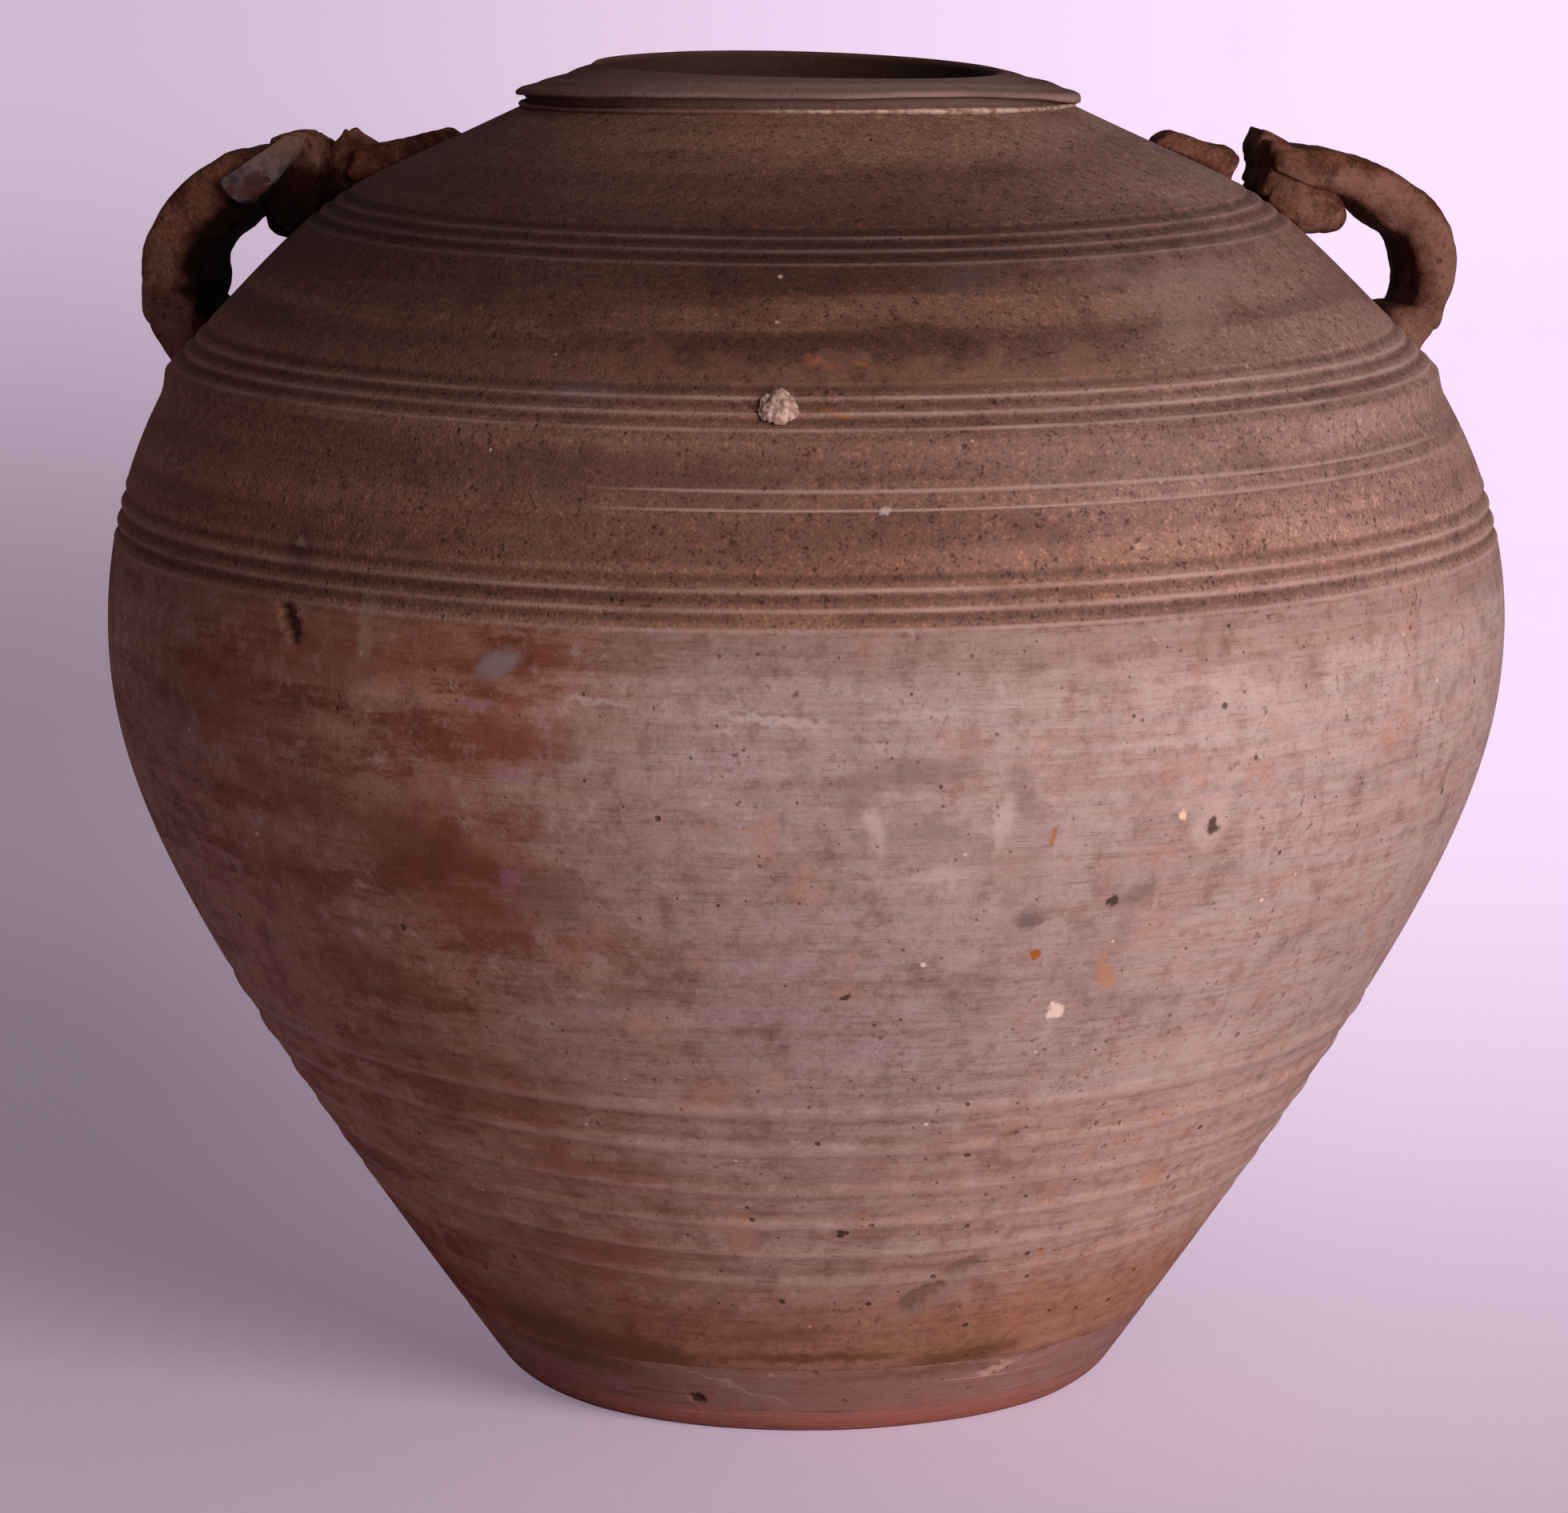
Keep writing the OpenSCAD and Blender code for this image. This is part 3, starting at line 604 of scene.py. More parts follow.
# %% Foot disc and shoulder dome
def floor_rows(points, lift):
    base = np.asarray(points)[:, None, :]
    r = base[..., 0] + wobble(base[..., 1] + 0 * turn, turn) * between(base[..., 0], 20, 70)
    spiral = lift * np.cos(base[..., 0] / 3.5 + np.radians(turn)) * between(base[..., 0], 6, 20)
    return r, base[..., 1] + spiral * between(base[..., 0], inner_foot_r, inner_foot_r - 8)


s = rows_between(0, FOOT_H)
inner_r = np.linspace(inner_foot_r, 0, 24)
under_r = np.linspace(0, BASE_R - FOOT_BEVEL - 6, 12)
parts = [skin_rows(s), inner_rows([(inner_foot_r, FLOOR_T)]),
         floor_rows([(r, FLOOR_T) for r in inner_r[1:]], 0.6),
         floor_rows([(r, 0.0) for r in under_r], 0.0)]
r, z = (np.vstack([part[k] for part in parts]) for k in (0, 1))
mesh = turned_mesh("base_disc", np.maximum(r, 0), np.maximum(z, 0), turn)
closing = bmesh.new()
closing.from_mesh(mesh)
bmesh.ops.remove_doubles(closing, verts=closing.verts, dist=1e-6)
closing.to_mesh(mesh)
closing.free()
base_disc = show("base_disc_skin", mesh, "base_disc")

UNDERCUT_R = 76.0
NECK_INSIDE = neck - WALL * along(90 - NECK_ANGLE)
cone_z = NECK_Z + (NECK_R - UNDERCUT_R) * math.tan(math.radians(NECK_ANGLE))
dome_inner = inside_between(SHOULDER_Z + 3, NECK_INSIDE[1])
dome_inner = dome_inner[dome_inner[:, 0] < SHOULDER_R - WALL]
shoulder_dome = turn_ring("shoulder_dome", SHOULDER_Z, cone_z,
                          [tuple(NECK_INSIDE)], shoulder_face[::-1], dome_inner)

# %% [markdown]
# ## Lip and lute
# The lip is a thin flange with a sharp, chipped edge that overhangs a narrow band of neck. A line
# of pale clay was wiped into the corner below it. At the front the flange is bent up, and at the
# right the edge of the mouth has sunk.

# %% Lip collar and lute
EDGE_RISE = 4.6
MOUTH_SINK = 2.8
RIGHT_DROOP, LEFT_DROOP = 2.2, 2.2
LIP_TOP_Z = MOUTH_Z + 2.5
THROAT_Z = MOUTH_Z - WALL / math.cos(math.radians(NECK_ANGLE))
LIP_EDGE = [(76.0, 365.9, 0.0), (77.1, 365.3, 0.0), (77.6, 366.0, 0.1), (77.7, 366.9, 0.5),
            (78.1, 367.7, 0.9), (78.9, 368.0, 1.0), (80.1, 367.9, 1.0), (80.8, 368.1, 1.0),
            (81.0, 368.6, 1.0), (80.7, 369.1, 1.0), (79.9, 369.6, 1.0)]


def collar_rows():
    top_r = np.linspace(78.6, 60, 16)
    top_z = 370.1 + (LIP_TOP_Z - 370.1) * (78.6 - top_r) / 18.6 + 0.25 * np.sin(top_r / 1.4)
    inner = [(58.4, LIP_TOP_Z - 0.2), (57.4, LIP_TOP_Z - 0.8), (57.0, LIP_TOP_Z - 1.8),
             (57.1, 372.5), (56.8, 370), (57.1, 367.5), (57, THROAT_Z), (58.5, THROAT_Z - 1)]
    under = [tuple(NECK_INSIDE * t + np.array([58.5, THROAT_Z - 1]) * (1 - t))
             for t in (0.3, 0.6, 0.85, 1)]
    rows = LIP_EDGE + [(a, min(b, LIP_TOP_Z), 1.0) for a, b in zip(top_r, top_z)]
    return np.array(rows + [(a, b, 0.0) for a, b in inner + under])


section = collar_rows()
base_r, base_z, share = (section[:, k][:, None] for k in (0, 1, 2))
front = ((1 + np.cos(np.radians(turn))) / 2) ** 3
right = ((1 + np.cos(np.radians(turn - 95))) / 2) ** 2
droop = RIGHT_DROOP * between(turn, 45, 85) * between(turn, 150, 110) * between(base_r, 66, 79)
droop = droop + LEFT_DROOP * between(turn, -40, -80) * between(turn, -150, -100) * near(base_r - 64, 15)
chips = np.minimum(drift(turn, 91, 1.6, (5, 9, 14, 23, 37, 61)), 0.1)
r = base_r + wobble(base_z + 0 * turn, turn) + chips * near(base_r - 81, 3) * share
z = (base_z + (FRONT_RISE + (EDGE_RISE - FRONT_RISE) * share) * front * between(base_r, 60, 76)
     - MOUTH_SINK * right * between(base_r, 80, 62) * between(base_z, 355, 372) - droop * share
     * (0.6 + 0.5 * between(base_z, 369.2, 368))
     + drift(turn, 93, 0.9, (4, 7, 11, 19, 33)) * share * between(base_r, 62, 79))
mesh = turned_mesh("lip_collar", r, np.minimum(z, LIP_TOP_Z), turn)
edge_wear = np.clip(0.1 + drift(turn, 92, 0.8, (7, 13, 23, 41)), 0, 0.6) * between(turn, -60, 40)
paint(mesh, "worn", near(base_r - 81, 1.6) * share * edge_wear)
# Painted shade: the inside of the mouth and the underside of the flange are painted darker.
throat = 0.75 * between(base_r, 60, 58.6) * between(base_z, 377.3, 376)
under_edge = 0.55 * between(base_z, 368.6, 367.6) * (base_r > 76.5)
paint(mesh, "dirt_and_shade", np.maximum(under_edge, throat) + 0 * turn)
lip_collar = show("lip_collar_skin", mesh, "lip_collar")

bead_angles = np.radians(np.arange(0, 360, 30))[:, None]
bead = 1.1 + np.clip(drift(turn, 95, 0.7, (3, 6, 11, 19, 33)), -0.5, 0.7)
r = 77.9 + bead * 1.6 * np.cos(bead_angles) + wobble(365 + 0 * turn, turn)
z = 365.2 + bead * 0.75 * np.sin(bead_angles) + FRONT_RISE * front
neck_lute = show("neck_lute_bead", turned_mesh("neck_lute", r, z, turn), "neck_lute")
print("lip", len(section), "rows; lute bead", round(float(bead.max()), 2), "mm thick at most")

# %% [markdown]
# ## Handle clay
# Each handle is a strap with a root, a pad, a knob, a leaf and a tail, all finger-pressed. A copy
# of each solid is remeshed into small even faces, smoothed as wet fingers would, and then pushed
# about: small grabs for the shape in the photograph, and noise for lumps and finger marks.
# Subdividing the solids wouldn't do, because their long thin triangles would show as creases.

# %% Helpers for lumps of clay
BACK = {"left": 15.0, "right": 12.0}


def to_handle(points, hand):
    """Out from the axis, across towards the back, and up, in mm."""
    x = -points[:, 0] if hand == "left" else points[:, 0]
    c, s = along(BACK[hand])
    return np.stack([x * c + points[:, 1] * s, points[:, 1] * c - x * s, points[:, 2]], -1)


def from_handle(points, hand):
    c, s = along(BACK[hand])
    x = points[:, 0] * c - points[:, 1] * s
    return np.stack([-x if hand == "left" else x, points[:, 0] * s + points[:, 1] * c,
                     points[:, 2]], -1)


def grab(points, centre, radius, move):
    """Pulls the clay near a centre, as a thumb would."""
    near_by = np.clip(1 - np.linalg.norm((points - centre), axis=1) / radius, 0, 1)
    return points + (near_by ** 2 * (3 - 2 * near_by))[:, None] * np.asarray(move, float)


def pull(p, u, z, radius, out, up):
    """Draws clay out or up along the whole width of a strap."""
    near_by = np.clip(1 - np.hypot(p[:, 0] - u, p[:, 2] - z) / radius, 0, 1)
    p[:, 0] += near_by ** 2 * (3 - 2 * near_by) * out
    p[:, 2] += near_by ** 2 * (3 - 2 * near_by) * up
    return p


def pat_flat(p, u, z, slope, keep):
    """Presses clay to a slanted board: what lies below it is kept if keep is 1, above it if -1."""
    beyond = np.clip(keep * (p[:, 2] - z - slope * (p[:, 0] - u)), 0, None)
    p[:, 2] -= keep * 0.85 * beyond
    return p


def cut_to(p, corners):
    """Trims a lump to a convex outline, as a wire would."""
    for (u0, z0), (u1, z1) in zip(corners, corners[1:] + corners[:1]):
        way = np.array([z1 - z0, u0 - u1]) / math.hypot(u1 - u0, z1 - z0)
        beyond = np.clip((p[:, [0, 2]] - [u0, z0]) @ way, 0, None)
        p[:, [0, 2]] -= beyond[:, None] * way
    return p


def lumps(points, size, depth, seed):
    shift = Vector((seed * 7.3, seed * 3.1, seed * 1.7))
    return np.array([noise.noise(Vector(point) / size + shift) for point in points]) * depth


def remeshed(source, name, voxel):
    copy = bpy.data.objects.new(name, source.data.copy())
    bpy.context.scene.collection.objects.link(copy)
    grain = copy.modifiers.new("voxels", "REMESH")
    grain.mode, grain.voxel_size = "VOXEL", voxel * MM
    rub = copy.modifiers.new("rub", "SMOOTH")
    rub.factor, rub.iterations = 0.5, 8
    bpy.context.view_layer.update()
    shaped = copy.evaluated_get(bpy.context.evaluated_depsgraph_get())
    mesh = bpy.data.meshes.new_from_object(shaped)
    bpy.data.objects.remove(copy)
    mesh.name = name
    mesh.materials.clear()
    mesh.shade_smooth()
    return mesh


def coordinates(mesh):
    flat = np.zeros(len(mesh.vertices) * 3)
    mesh.vertices.foreach_get("co", flat)
    return flat.reshape(-1, 3) / MM


def normals(mesh):
    flat = np.zeros(len(mesh.vertices) * 3)
    mesh.vertex_normals.foreach_get("vector", flat)
    return flat.reshape(-1, 3)


def place_points(mesh, points):
    mesh.vertices.foreach_set("co", (points * MM).ravel())
    mesh.update()


def above_wall(points):
    """How far points stand off the plain wall, measured level."""
    r = np.hypot(points[:, 0] - lean_at(points[:, 2]), points[:, 1])
    return r - np.interp(points[:, 2], outline[:, 1], outline[:, 0])


def follow_lean(points):
    touching = between(above_wall(points), 16, 2)
    points[:, 0] += touching * lean_at(points[:, 2])
    return points


def clay_piece(node, hand, voxel=0.8, swell=0.45, rough=(0.55, 0.2), sculpt=None, seed=1):
    mesh = remeshed(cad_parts[node], node + "_clay", voxel)
    points, out = coordinates(mesh), normals(mesh)
    push = swell + lumps(points, 9.0, rough[0], seed) + lumps(points, 2.6, rough[1], seed + 1)
    points = points + out * push[:, None]
    local = to_handle(points, hand)
    if sculpt:
        local = sculpt(local)
    points = follow_lean(from_handle(local, hand))
    place_points(mesh, points)
    piece = show(node + "_clay", mesh, node)
    facing = to_handle(normals(mesh), hand)
    return piece, mesh, to_handle(points, hand), facing


def paint_wear(mesh, points, facing, eye, wear, darkening, seed):
    """Rubbed where hands and ropes touch; painted darker, as painted shade with some soot, on faces turned
    towards the eye, close to it and at each listed place.
    """
    outward, forward, upward, far_side, limit = wear
    to_eye = np.stack([eye[0] - points[:, 0], 0 * points[:, 1], eye[1] - points[:, 2]], -1)
    away = np.linalg.norm(to_eye, axis=1)
    toward = (facing * to_eye).sum(1) / away
    uneven = lumps(points, 6.0, 0.45, seed) + lumps(points, 1.7, 0.35, seed + 1)
    rubbed = facing @ np.array([outward, -forward, upward]) + uneven
    rubbed += far_side * (between(away, 15, 23) - 0.6) - between(points[:, 2], limit, limit + 10)
    paint(mesh, "worn", between(rubbed, 0.1, 0.9))
    strength, *places = darkening
    # Painted shade with some soot: faces turned into the loop, clay close to its middle and each listed
    # place are painted darker.
    shade_and_soot = between(toward + 1.3 * between(away, 23, 12) + lumps(points, 8.0, 0.5, seed + 2), 0.35, 1.2)
    for u, z, radius in places:
        to_place = np.hypot(points[:, 0] - u, points[:, 2] - z) + lumps(points, 5.0, 3.0, seed + 3)
        shade_and_soot = np.maximum(shade_and_soot, between(to_place, radius, 0.55 * radius))
    paint(mesh, "dirt_and_shade", strength * shade_and_soot)


def over_dome(p):
    """Height above the wall in the handle's frame."""
    return p[:, 2] - np.interp(np.hypot(p[:, 0], p[:, 1]), dome[::-1, 0], dome[::-1, 1])


def reach(p, axis, start, end, move):
    """Draws one end of a lump along an axis, so that it sinks into its neighbour."""
    p[:, axis] += move * between(p[:, axis], start, end)
    return p


def taper(p, low, high, middle, share):
    """Narrows a lump towards the height called high."""
    t = share * between(p[:, 2], low, high)
    p[:, 0] = middle + (p[:, 0] - middle) * (1 - t)
    p[:, 1] *= 1 - t
    return p


print("helpers ready; the left handle sits", BACK["left"], "degrees behind the side line")

# %% [markdown]
# ## The two handles
# Left: a thick strap, rubbed grey outside, with a knob at its inner end, a pointed leaf behind it
# and the scar where a second leaf broke off. Right: a thinner, longer strap that ends in a blunt
# face, with a dark leaf behind it and a short lump of a tail.

# %% Left handle
LEFT_EYE = (165.0, 318.0)


def left_strap_shape(p):
    p = taper(p, 311, 301, 186.5, 0.08)
    p = reach(p, 2, 306, 301, -5.0)
    p = reach(p, 0, 158, 152, -2.5)
    p = pull(p, 180, 313, 13, -2.8, 0)
    p = pull(p, 175, 325, 12, -2.6, -1.6)
    p = pull(p, 165, 331, 14, -1.0, -3.8)
    p = pull(p, 194, 302, 11, 2.2, 0)
    return pull(p, 160, 352, 11, 0, -2.2)


def left_root_shape(p):
    p = reach(p, 2, 296, 302, 2.0)
    p[:, 1] *= 0.94
    p = pull(p, 190, 299, 12, 3.6, 0)
    return pull(p, 178, 303, 10, -1.5, 1.0)


def left_pad_shape(p):
    p[:, 1] *= 0.9
    p = reach(p, 2, p[:, 2].max() - 5, p[:, 2].max(), 3.0)
    return pull(p, 161, 329, 10, -2.0, 0.5)


SCAR = [(169.9, 341.2), (149.2, 354.9), (145.4, 354.2), (147.0, 348.5), (154.6, 339.8), (158.7, 334.7),
        (161.1, 333.2), (166.1, 336.8)]


def left_stub_shape(p):
    """The scar lies flat in the strap's face, trimmed to the outline of the leaf that broke off."""
    front_face = p[:, 1].min()
    p[:, 1] = front_face + 1.6 + (p[:, 1] - front_face) * 0.7
    p[:, [0, 2]] = np.array([158.5, 345.0]) + (p[:, [0, 2]] - [158.5, 345.0]) * 1.15
    return cut_to(p, SCAR)


def left_knob_shape(p):
    p = reach(p, 0, 147, 152, 3.0)
    p = reach(p, 2, 346, p[:, 2].min(), -2.5)
    p[:, 0] += 1.8
    p[:, 2] -= 1.0 * between(p[:, 2], 346, 354)
    p = grab(p, (142, 0, 356), 10, (1.5, 0, -2.2))
    return grab(p, (146, -10, 350), 8, (0, -1.6, 0))


def left_leaf_shape(p):
    thin = between(p[:, 2], 340, 356)
    p = reach(p, 0, 136, 140, 2.5)
    p = reach(p, 0, 133, 129, -2.0)
    p[:, 1] = 3 + (p[:, 1] - 3) * (1 - 0.45 * thin)
    p[:, 0] = 134 + (p[:, 0] - 134) * (1 - 0.4 * thin) + 1.0
    return grab(p, (133, 3, 357), 10, (3.2, -2.0, -2.0))


def left_tail_shape(p):
    p = reach(p, 0, 125, 129, 3.5)
    p = reach(p, 0, 108, 103, -3.5)
    above = between(over_dome(p), 0.5, 3)
    p[:, 2] += (1.5 * between(p[:, 0], 104, 110) + 3.4 * between(p[:, 0], 109, 101)) * above
    return p


# Places painted darker, as painted shade with soot: under the knob, the pad and near the lower root.
LEFT_SHADE_AND_SOOT = (1.0, (149, 336, 17), (160, 331, 13), (174, 311, 11))
LEFT_PIECES = (("left_handle_strap", left_strap_shape, 0.45, (0.5, 0.1, 0.0, 1.1, 330), 3),
               ("left_lower_root", left_root_shape, 0.1, (0.5, 0.4, 0.0, 0.6, 330), 5),
               ("left_upper_pad", left_pad_shape, 0.45, (0.0, -0.2, -0.6, 0.0, 330), 7),
               ("left_knob", left_knob_shape, 0.45, (-0.3, 0.6, 0.3, 0.0, 360), 9),
               ("left_leaf", left_leaf_shape, 0.45, (0.5, 0.1, 0.0, 0.0, 360), 11),
               ("left_tail", left_tail_shape, 0.45, (0.1, 0.0, 0.2, 0.0, 352), 13))
pieces = {}
for node, shape, swell, wear, seed in LEFT_PIECES:
    piece, mesh, points, facing = clay_piece(node, "left", swell=swell, sculpt=shape,
                                             seed=seed)
    paint_wear(mesh, points, facing, LEFT_EYE, wear, LEFT_SHADE_AND_SOOT, seed)
    pieces[node] = piece
    print(piece.name, "triangles", 2 * len(mesh.polygons))

piece, mesh, points, facing = clay_piece("left_leaf_stub", "left", voxel=0.6,
                                         swell=0.2, rough=(0.7, 0.5), sculpt=left_stub_shape,
                                         seed=21)
pieces["left_leaf_stub"] = piece

# %% Right handle
RIGHT_EYE = (165.0, 316.0)


def right_strap_shape(p):
    p = taper(p, 312, 301, 184, 0.16)
    p = reach(p, 2, 306, 301, -5.0)
    p = reach(p, 0, 151, 142, -8.0)
    p = pull(p, 168, 331, 15, -1.6, -3.6)
    p = pull(p, 179, 320, 11, -1.8, -1.0)
    p = pull(p, 174, 307, 9, 1.8, 0)
    end = p[:, 0] < 152
    p[end] = pat_flat(pat_flat(p[end], 134, 354.6, -0.24, 1), 138, 344.0, -0.5, -1)
    p = grab(p, (163, 0, 350), 8, (0, 0, 0.7))
    return pull(p, 176, 345, 8, 0.3, -0.8)


def right_root_shape(p):
    p = reach(p, 2, 296, 302, 2.0)
    p[:, 1] *= 0.92
    p = pull(p, 186, 297, 10, 1.4, 0.6)
    return grab(p, (172, -8, 300), 14, (-2.5, -1.5, 0.5))


def right_pad_shape(p):
    """Its nose was wiped into the strap, round and full below."""
    top = p[:, 2].max()
    p[:, 0] -= 3.4 * between(p[:, 0], 147, 160)
    p[:, 1] *= 1 - 0.2 * between(p[:, 0], 140, 160)
    return reach(p, 2, top - 4, top, 3.0)


def right_knob_shape(p):
    p = reach(p, 0, 139, 142, 3.5)
    p = reach(p, 0, 138, 135, -2.0)
    p = reach(p, 2, 344, p[:, 2].min(), -2.5)
    return pat_flat(p, 134, 353.6, -0.36, 1)


def right_leaf_shape(p):
    """It leans on the end of the strap."""
    p[:, 1] = 3 + (p[:, 1] - 3) * (1 - 0.2 * between(p[:, 2], 345, 358))
    p = reach(p, 0, 132, 135, 3.0)
    p[:, 0] += 3.6 + 2.0 * between(p[:, 2], 352, 342)
    p[:, 2] -= 1.3 * between(p[:, 2], 346, 354)
    p = grab(p, (138, 3, 355), 9, (1.4, -1.5, -0.8))
    return pat_flat(p, 134, 356.0, -0.5, 1)


def right_tail_shape(p):
    p[:, 2] += 1.8 * between(p[:, 0], 122, 110) * between(over_dome(p), 0.5, 3)
    p[:, 0] -= 2.6 * between(p[:, 0], 116, 127)
    p = grab(p, (122, -2, 352), 7, (0.5, -1.0, 1.2))
    p = grab(p, (112, 0, 360), 5, (0, 0, -1.4))
    return grab(p, (106, 0, 362), 7, (1.0, -1.0, 0.6))


# Places painted darker, as painted shade with soot: under the strap's end and near the lower root.
RIGHT_SHADE_AND_SOOT = (0.3, (133, 343, 12), (178, 306, 8))
RIGHT_PIECES = (("right_handle_strap", right_strap_shape, 0.45, (0.2, 0.8, -0.5, 0.4, 341), 31),
                ("right_lower_root", right_root_shape, 0.1, (0.2, 0.9, 0.0, 0.3, 370), 33),
                ("right_upper_pad", right_pad_shape, 0.45, (0.2, 0.5, -0.3, 0.0, 370), 35),
                ("right_knob", right_knob_shape, 0.3, (0.2, 0.2, -0.5, 0.0, 350), 37),
                ("right_leaf", right_leaf_shape, 0.45, (0.1, 0.0, -0.3, 0.0, 340), 39),
                ("right_tail", right_tail_shape, 0.45, (0.5, 0.2, -0.6, 0.0, 352), 41))
for node, shape, swell, wear, seed in RIGHT_PIECES:
    piece, mesh, points, facing = clay_piece(node, "right", swell=swell, sculpt=shape,
                                             seed=seed)
    paint_wear(mesh, points, facing, RIGHT_EYE, wear, RIGHT_SHADE_AND_SOOT, seed)
    pieces[node] = piece
    print(piece.name, "triangles", 2 * len(mesh.polygons))

# %% [markdown]
# ## The kiln crumb
# A crumb of kiln clay fell on the combed shoulder band and fused there. It is a small, pale,
# broken lump, so its mesh is fine and its noise strong.

# %% Kiln crumb
mesh = remeshed(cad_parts["kiln_crumb"], "kiln_crumb_clay", 0.35)
points, out = coordinates(mesh), normals(mesh)
push = 0.2 + lumps(points, 3.2, 1.3, 51) + lumps(points, 1.1, 0.5, 52)
place_points(mesh, follow_lean(points + out * push[:, None]))
kiln_crumb = show("kiln_crumb_clay", mesh, "kiln_crumb")
print("crumb triangles", 2 * len(mesh.polygons))

# %% [markdown]
# ## The wiped body clay
# Below the lowest comb band the wall was wiped with a wet hand while it turned. Wiping brings fine
# clay up, so this part is smoother and paler than the shoulder, with level streaks, a thin grey
# film, small pits, and grains of white grit. The kiln reddened its left side; a lighter colour on
# its right side is painted light. Noise stretched along the turning direction gives the streaks.

# %% Group: wiped clay
WIPED_LEFT, WIPED_FRONT, WIPED_RIGHT_PAINTED_LIGHT = rgb(0.35, 0.155, 0.1), rgb(0.345, 0.22, 0.195), rgb(
    0.46, 0.29, 0.25)
GREY_FILM, DRY_TAN = rgb(0.36, 0.25, 0.235), rgb(0.42, 0.2, 0.13)
PIT_DARK, GRIT_WHITE = rgb(0.05, 0.022, 0.016), rgb(0.75, 0.52, 0.42)

wiped_clay, wiped_in, wiped_out = new_group(
    "wiped_clay", [("Place", VECTOR, None), ("Streak Place", VECTOR, None), ("Across", FLOAT, 0.0)],
    [("Colour", COLOUR), ("Roughness", FLOAT), ("Relief", FLOAT)])
tree = wiped_clay
mottle = add(tree, "TexNoise", Vector=wiped_in["Place"], Scale=17.0, Detail=4.0).outputs[0]
long_streak = add(tree, "TexNoise", Vector=wiped_in["Streak Place"], Scale=9.0, Detail=4.0,
                  Roughness=0.62).outputs[0]
fine_streak = add(tree, "TexNoise", Vector=wiped_in["Streak Place"], Scale=34.0,
                  Detail=3.0).outputs[0]
film = add(tree, "TexNoise", Vector=wiped_in["Place"], Scale=48.0, Detail=7.0,
           Roughness=0.68).outputs[0]
side_shift = sums(tree, "MULTIPLY_ADD", sums(tree, "SUBTRACT", mottle, 0.5), 110.0,
                  wiped_in["Across"])
colour = lay_over(tree, soft_step(tree, side_shift, -105.0, -8.0), WIPED_LEFT, WIPED_FRONT)
flat_place = add(tree, "VectorMath", {"operation": "MULTIPLY"})
wire(tree, wiped_in["Place"], flat_place.inputs[0])
flat_place.inputs[1].default_value = (1.0, 1.0, 5.0)
kiln_red = add(tree, "TexNoise", Vector=flat_place.outputs[0], Scale=15.0, Detail=7.0,
               Roughness=0.7).outputs[0]
on_left = soft_step(tree, side_shift, -20.0, -90.0)
colour = tint(tree, sums(tree, "MULTIPLY", on_left, soft_step(tree, kiln_red, 0.5, 0.6)), colour,
              rgb(0.68, 0.5, 0.42))
colour = lay_over(tree, sums(tree, "MULTIPLY", sums(tree, "MULTIPLY", on_left, 0.35),
                             soft_step(tree, kiln_red, 0.48, 0.38)), colour, rgb(0.38, 0.2, 0.15))
# Painted light: the right side is laid over in a lighter colour.
colour = lay_over(tree, soft_step(tree, side_shift, 0.0, 120.0), colour, WIPED_RIGHT_PAINTED_LIGHT)
filmed = sums(tree, "MULTIPLY", soft_step(tree, long_streak, 0.47, 0.6),
              sums(tree, "MULTIPLY", soft_step(tree, side_shift, -110.0, 0.0), 0.5))
colour = lay_over(tree, filmed, colour, GREY_FILM)
colour = tint(tree, sums(tree, "MULTIPLY", soft_step(tree, fine_streak, 0.52, 0.34), 0.4), colour,
              rgb(0.72, 0.65, 0.62))
scratch = add(tree, "TexNoise", Vector=wiped_in["Streak Place"], Scale=120.0, Detail=3.0).outputs[0]
colour = tint(tree, sums(tree, "MULTIPLY", soft_step(tree, scratch, 0.42, 0.3), 0.6), colour,
              rgb(0.55, 0.46, 0.43))
colour = tint(tree, sums(tree, "MULTIPLY", soft_step(tree, long_streak, 0.5, 0.36), 0.4), colour,
              rgb(0.7, 0.6, 0.56))
patch = add(tree, "TexNoise", Vector=wiped_in["Place"], Scale=30.0, Detail=5.0, Roughness=0.6,
            Distortion=0.6).outputs[0]
colour = tint(tree, sums(tree, "MULTIPLY", soft_step(tree, patch, 0.5, 0.36), 0.55), colour,
              rgb(0.72, 0.64, 0.62))
cloud = add(tree, "TexNoise", Vector=wiped_in["Place"], Scale=130.0, Detail=5.0,
            Roughness=0.7).outputs[0]
colour = tint(tree, soft_step(tree, cloud, 0.52, 0.34), colour, rgb(0.78, 0.7, 0.67))
colour = lay_over(tree, sums(tree, "MULTIPLY", soft_step(tree, cloud, 0.54, 0.68), 0.4), colour,
                  rgb(0.47, 0.33, 0.3))
rough_place = sums(tree, "MULTIPLY", soft_step(tree, patch, 0.5, 0.6),
                   soft_step(tree, cloud, 0.46, 0.54))
crust = use_group(tree, sand_grain, Place=wiped_in["Place"], Grain=620.0, Strength=1.0)
colour = tint(tree, sums(tree, "MULTIPLY", rough_place, crust["Dark"]), colour,
              rgb(0.42, 0.32, 0.28))
dry = sums(tree, "MULTIPLY", soft_step(tree, film, 0.55, 0.66), 0.5)
colour = lay_over(tree, dry, colour, DRY_TAN)
sand = use_group(tree, sand_grain, Place=wiped_in["Place"], Grain=1000.0, Strength=0.4)
colour = tint(tree, sand["Dark"], colour, rgb(0.55, 0.45, 0.42))
colour = lay_over(tree, sums(tree, "MULTIPLY", sand["Light"], 0.5), colour, rgb(0.55, 0.38, 0.32))
many_pits = use_group(tree, grit_specks, Place=wiped_in["Place"], Cells=290.0, Size=0.17,
                      Share=0.3)["Mask"]
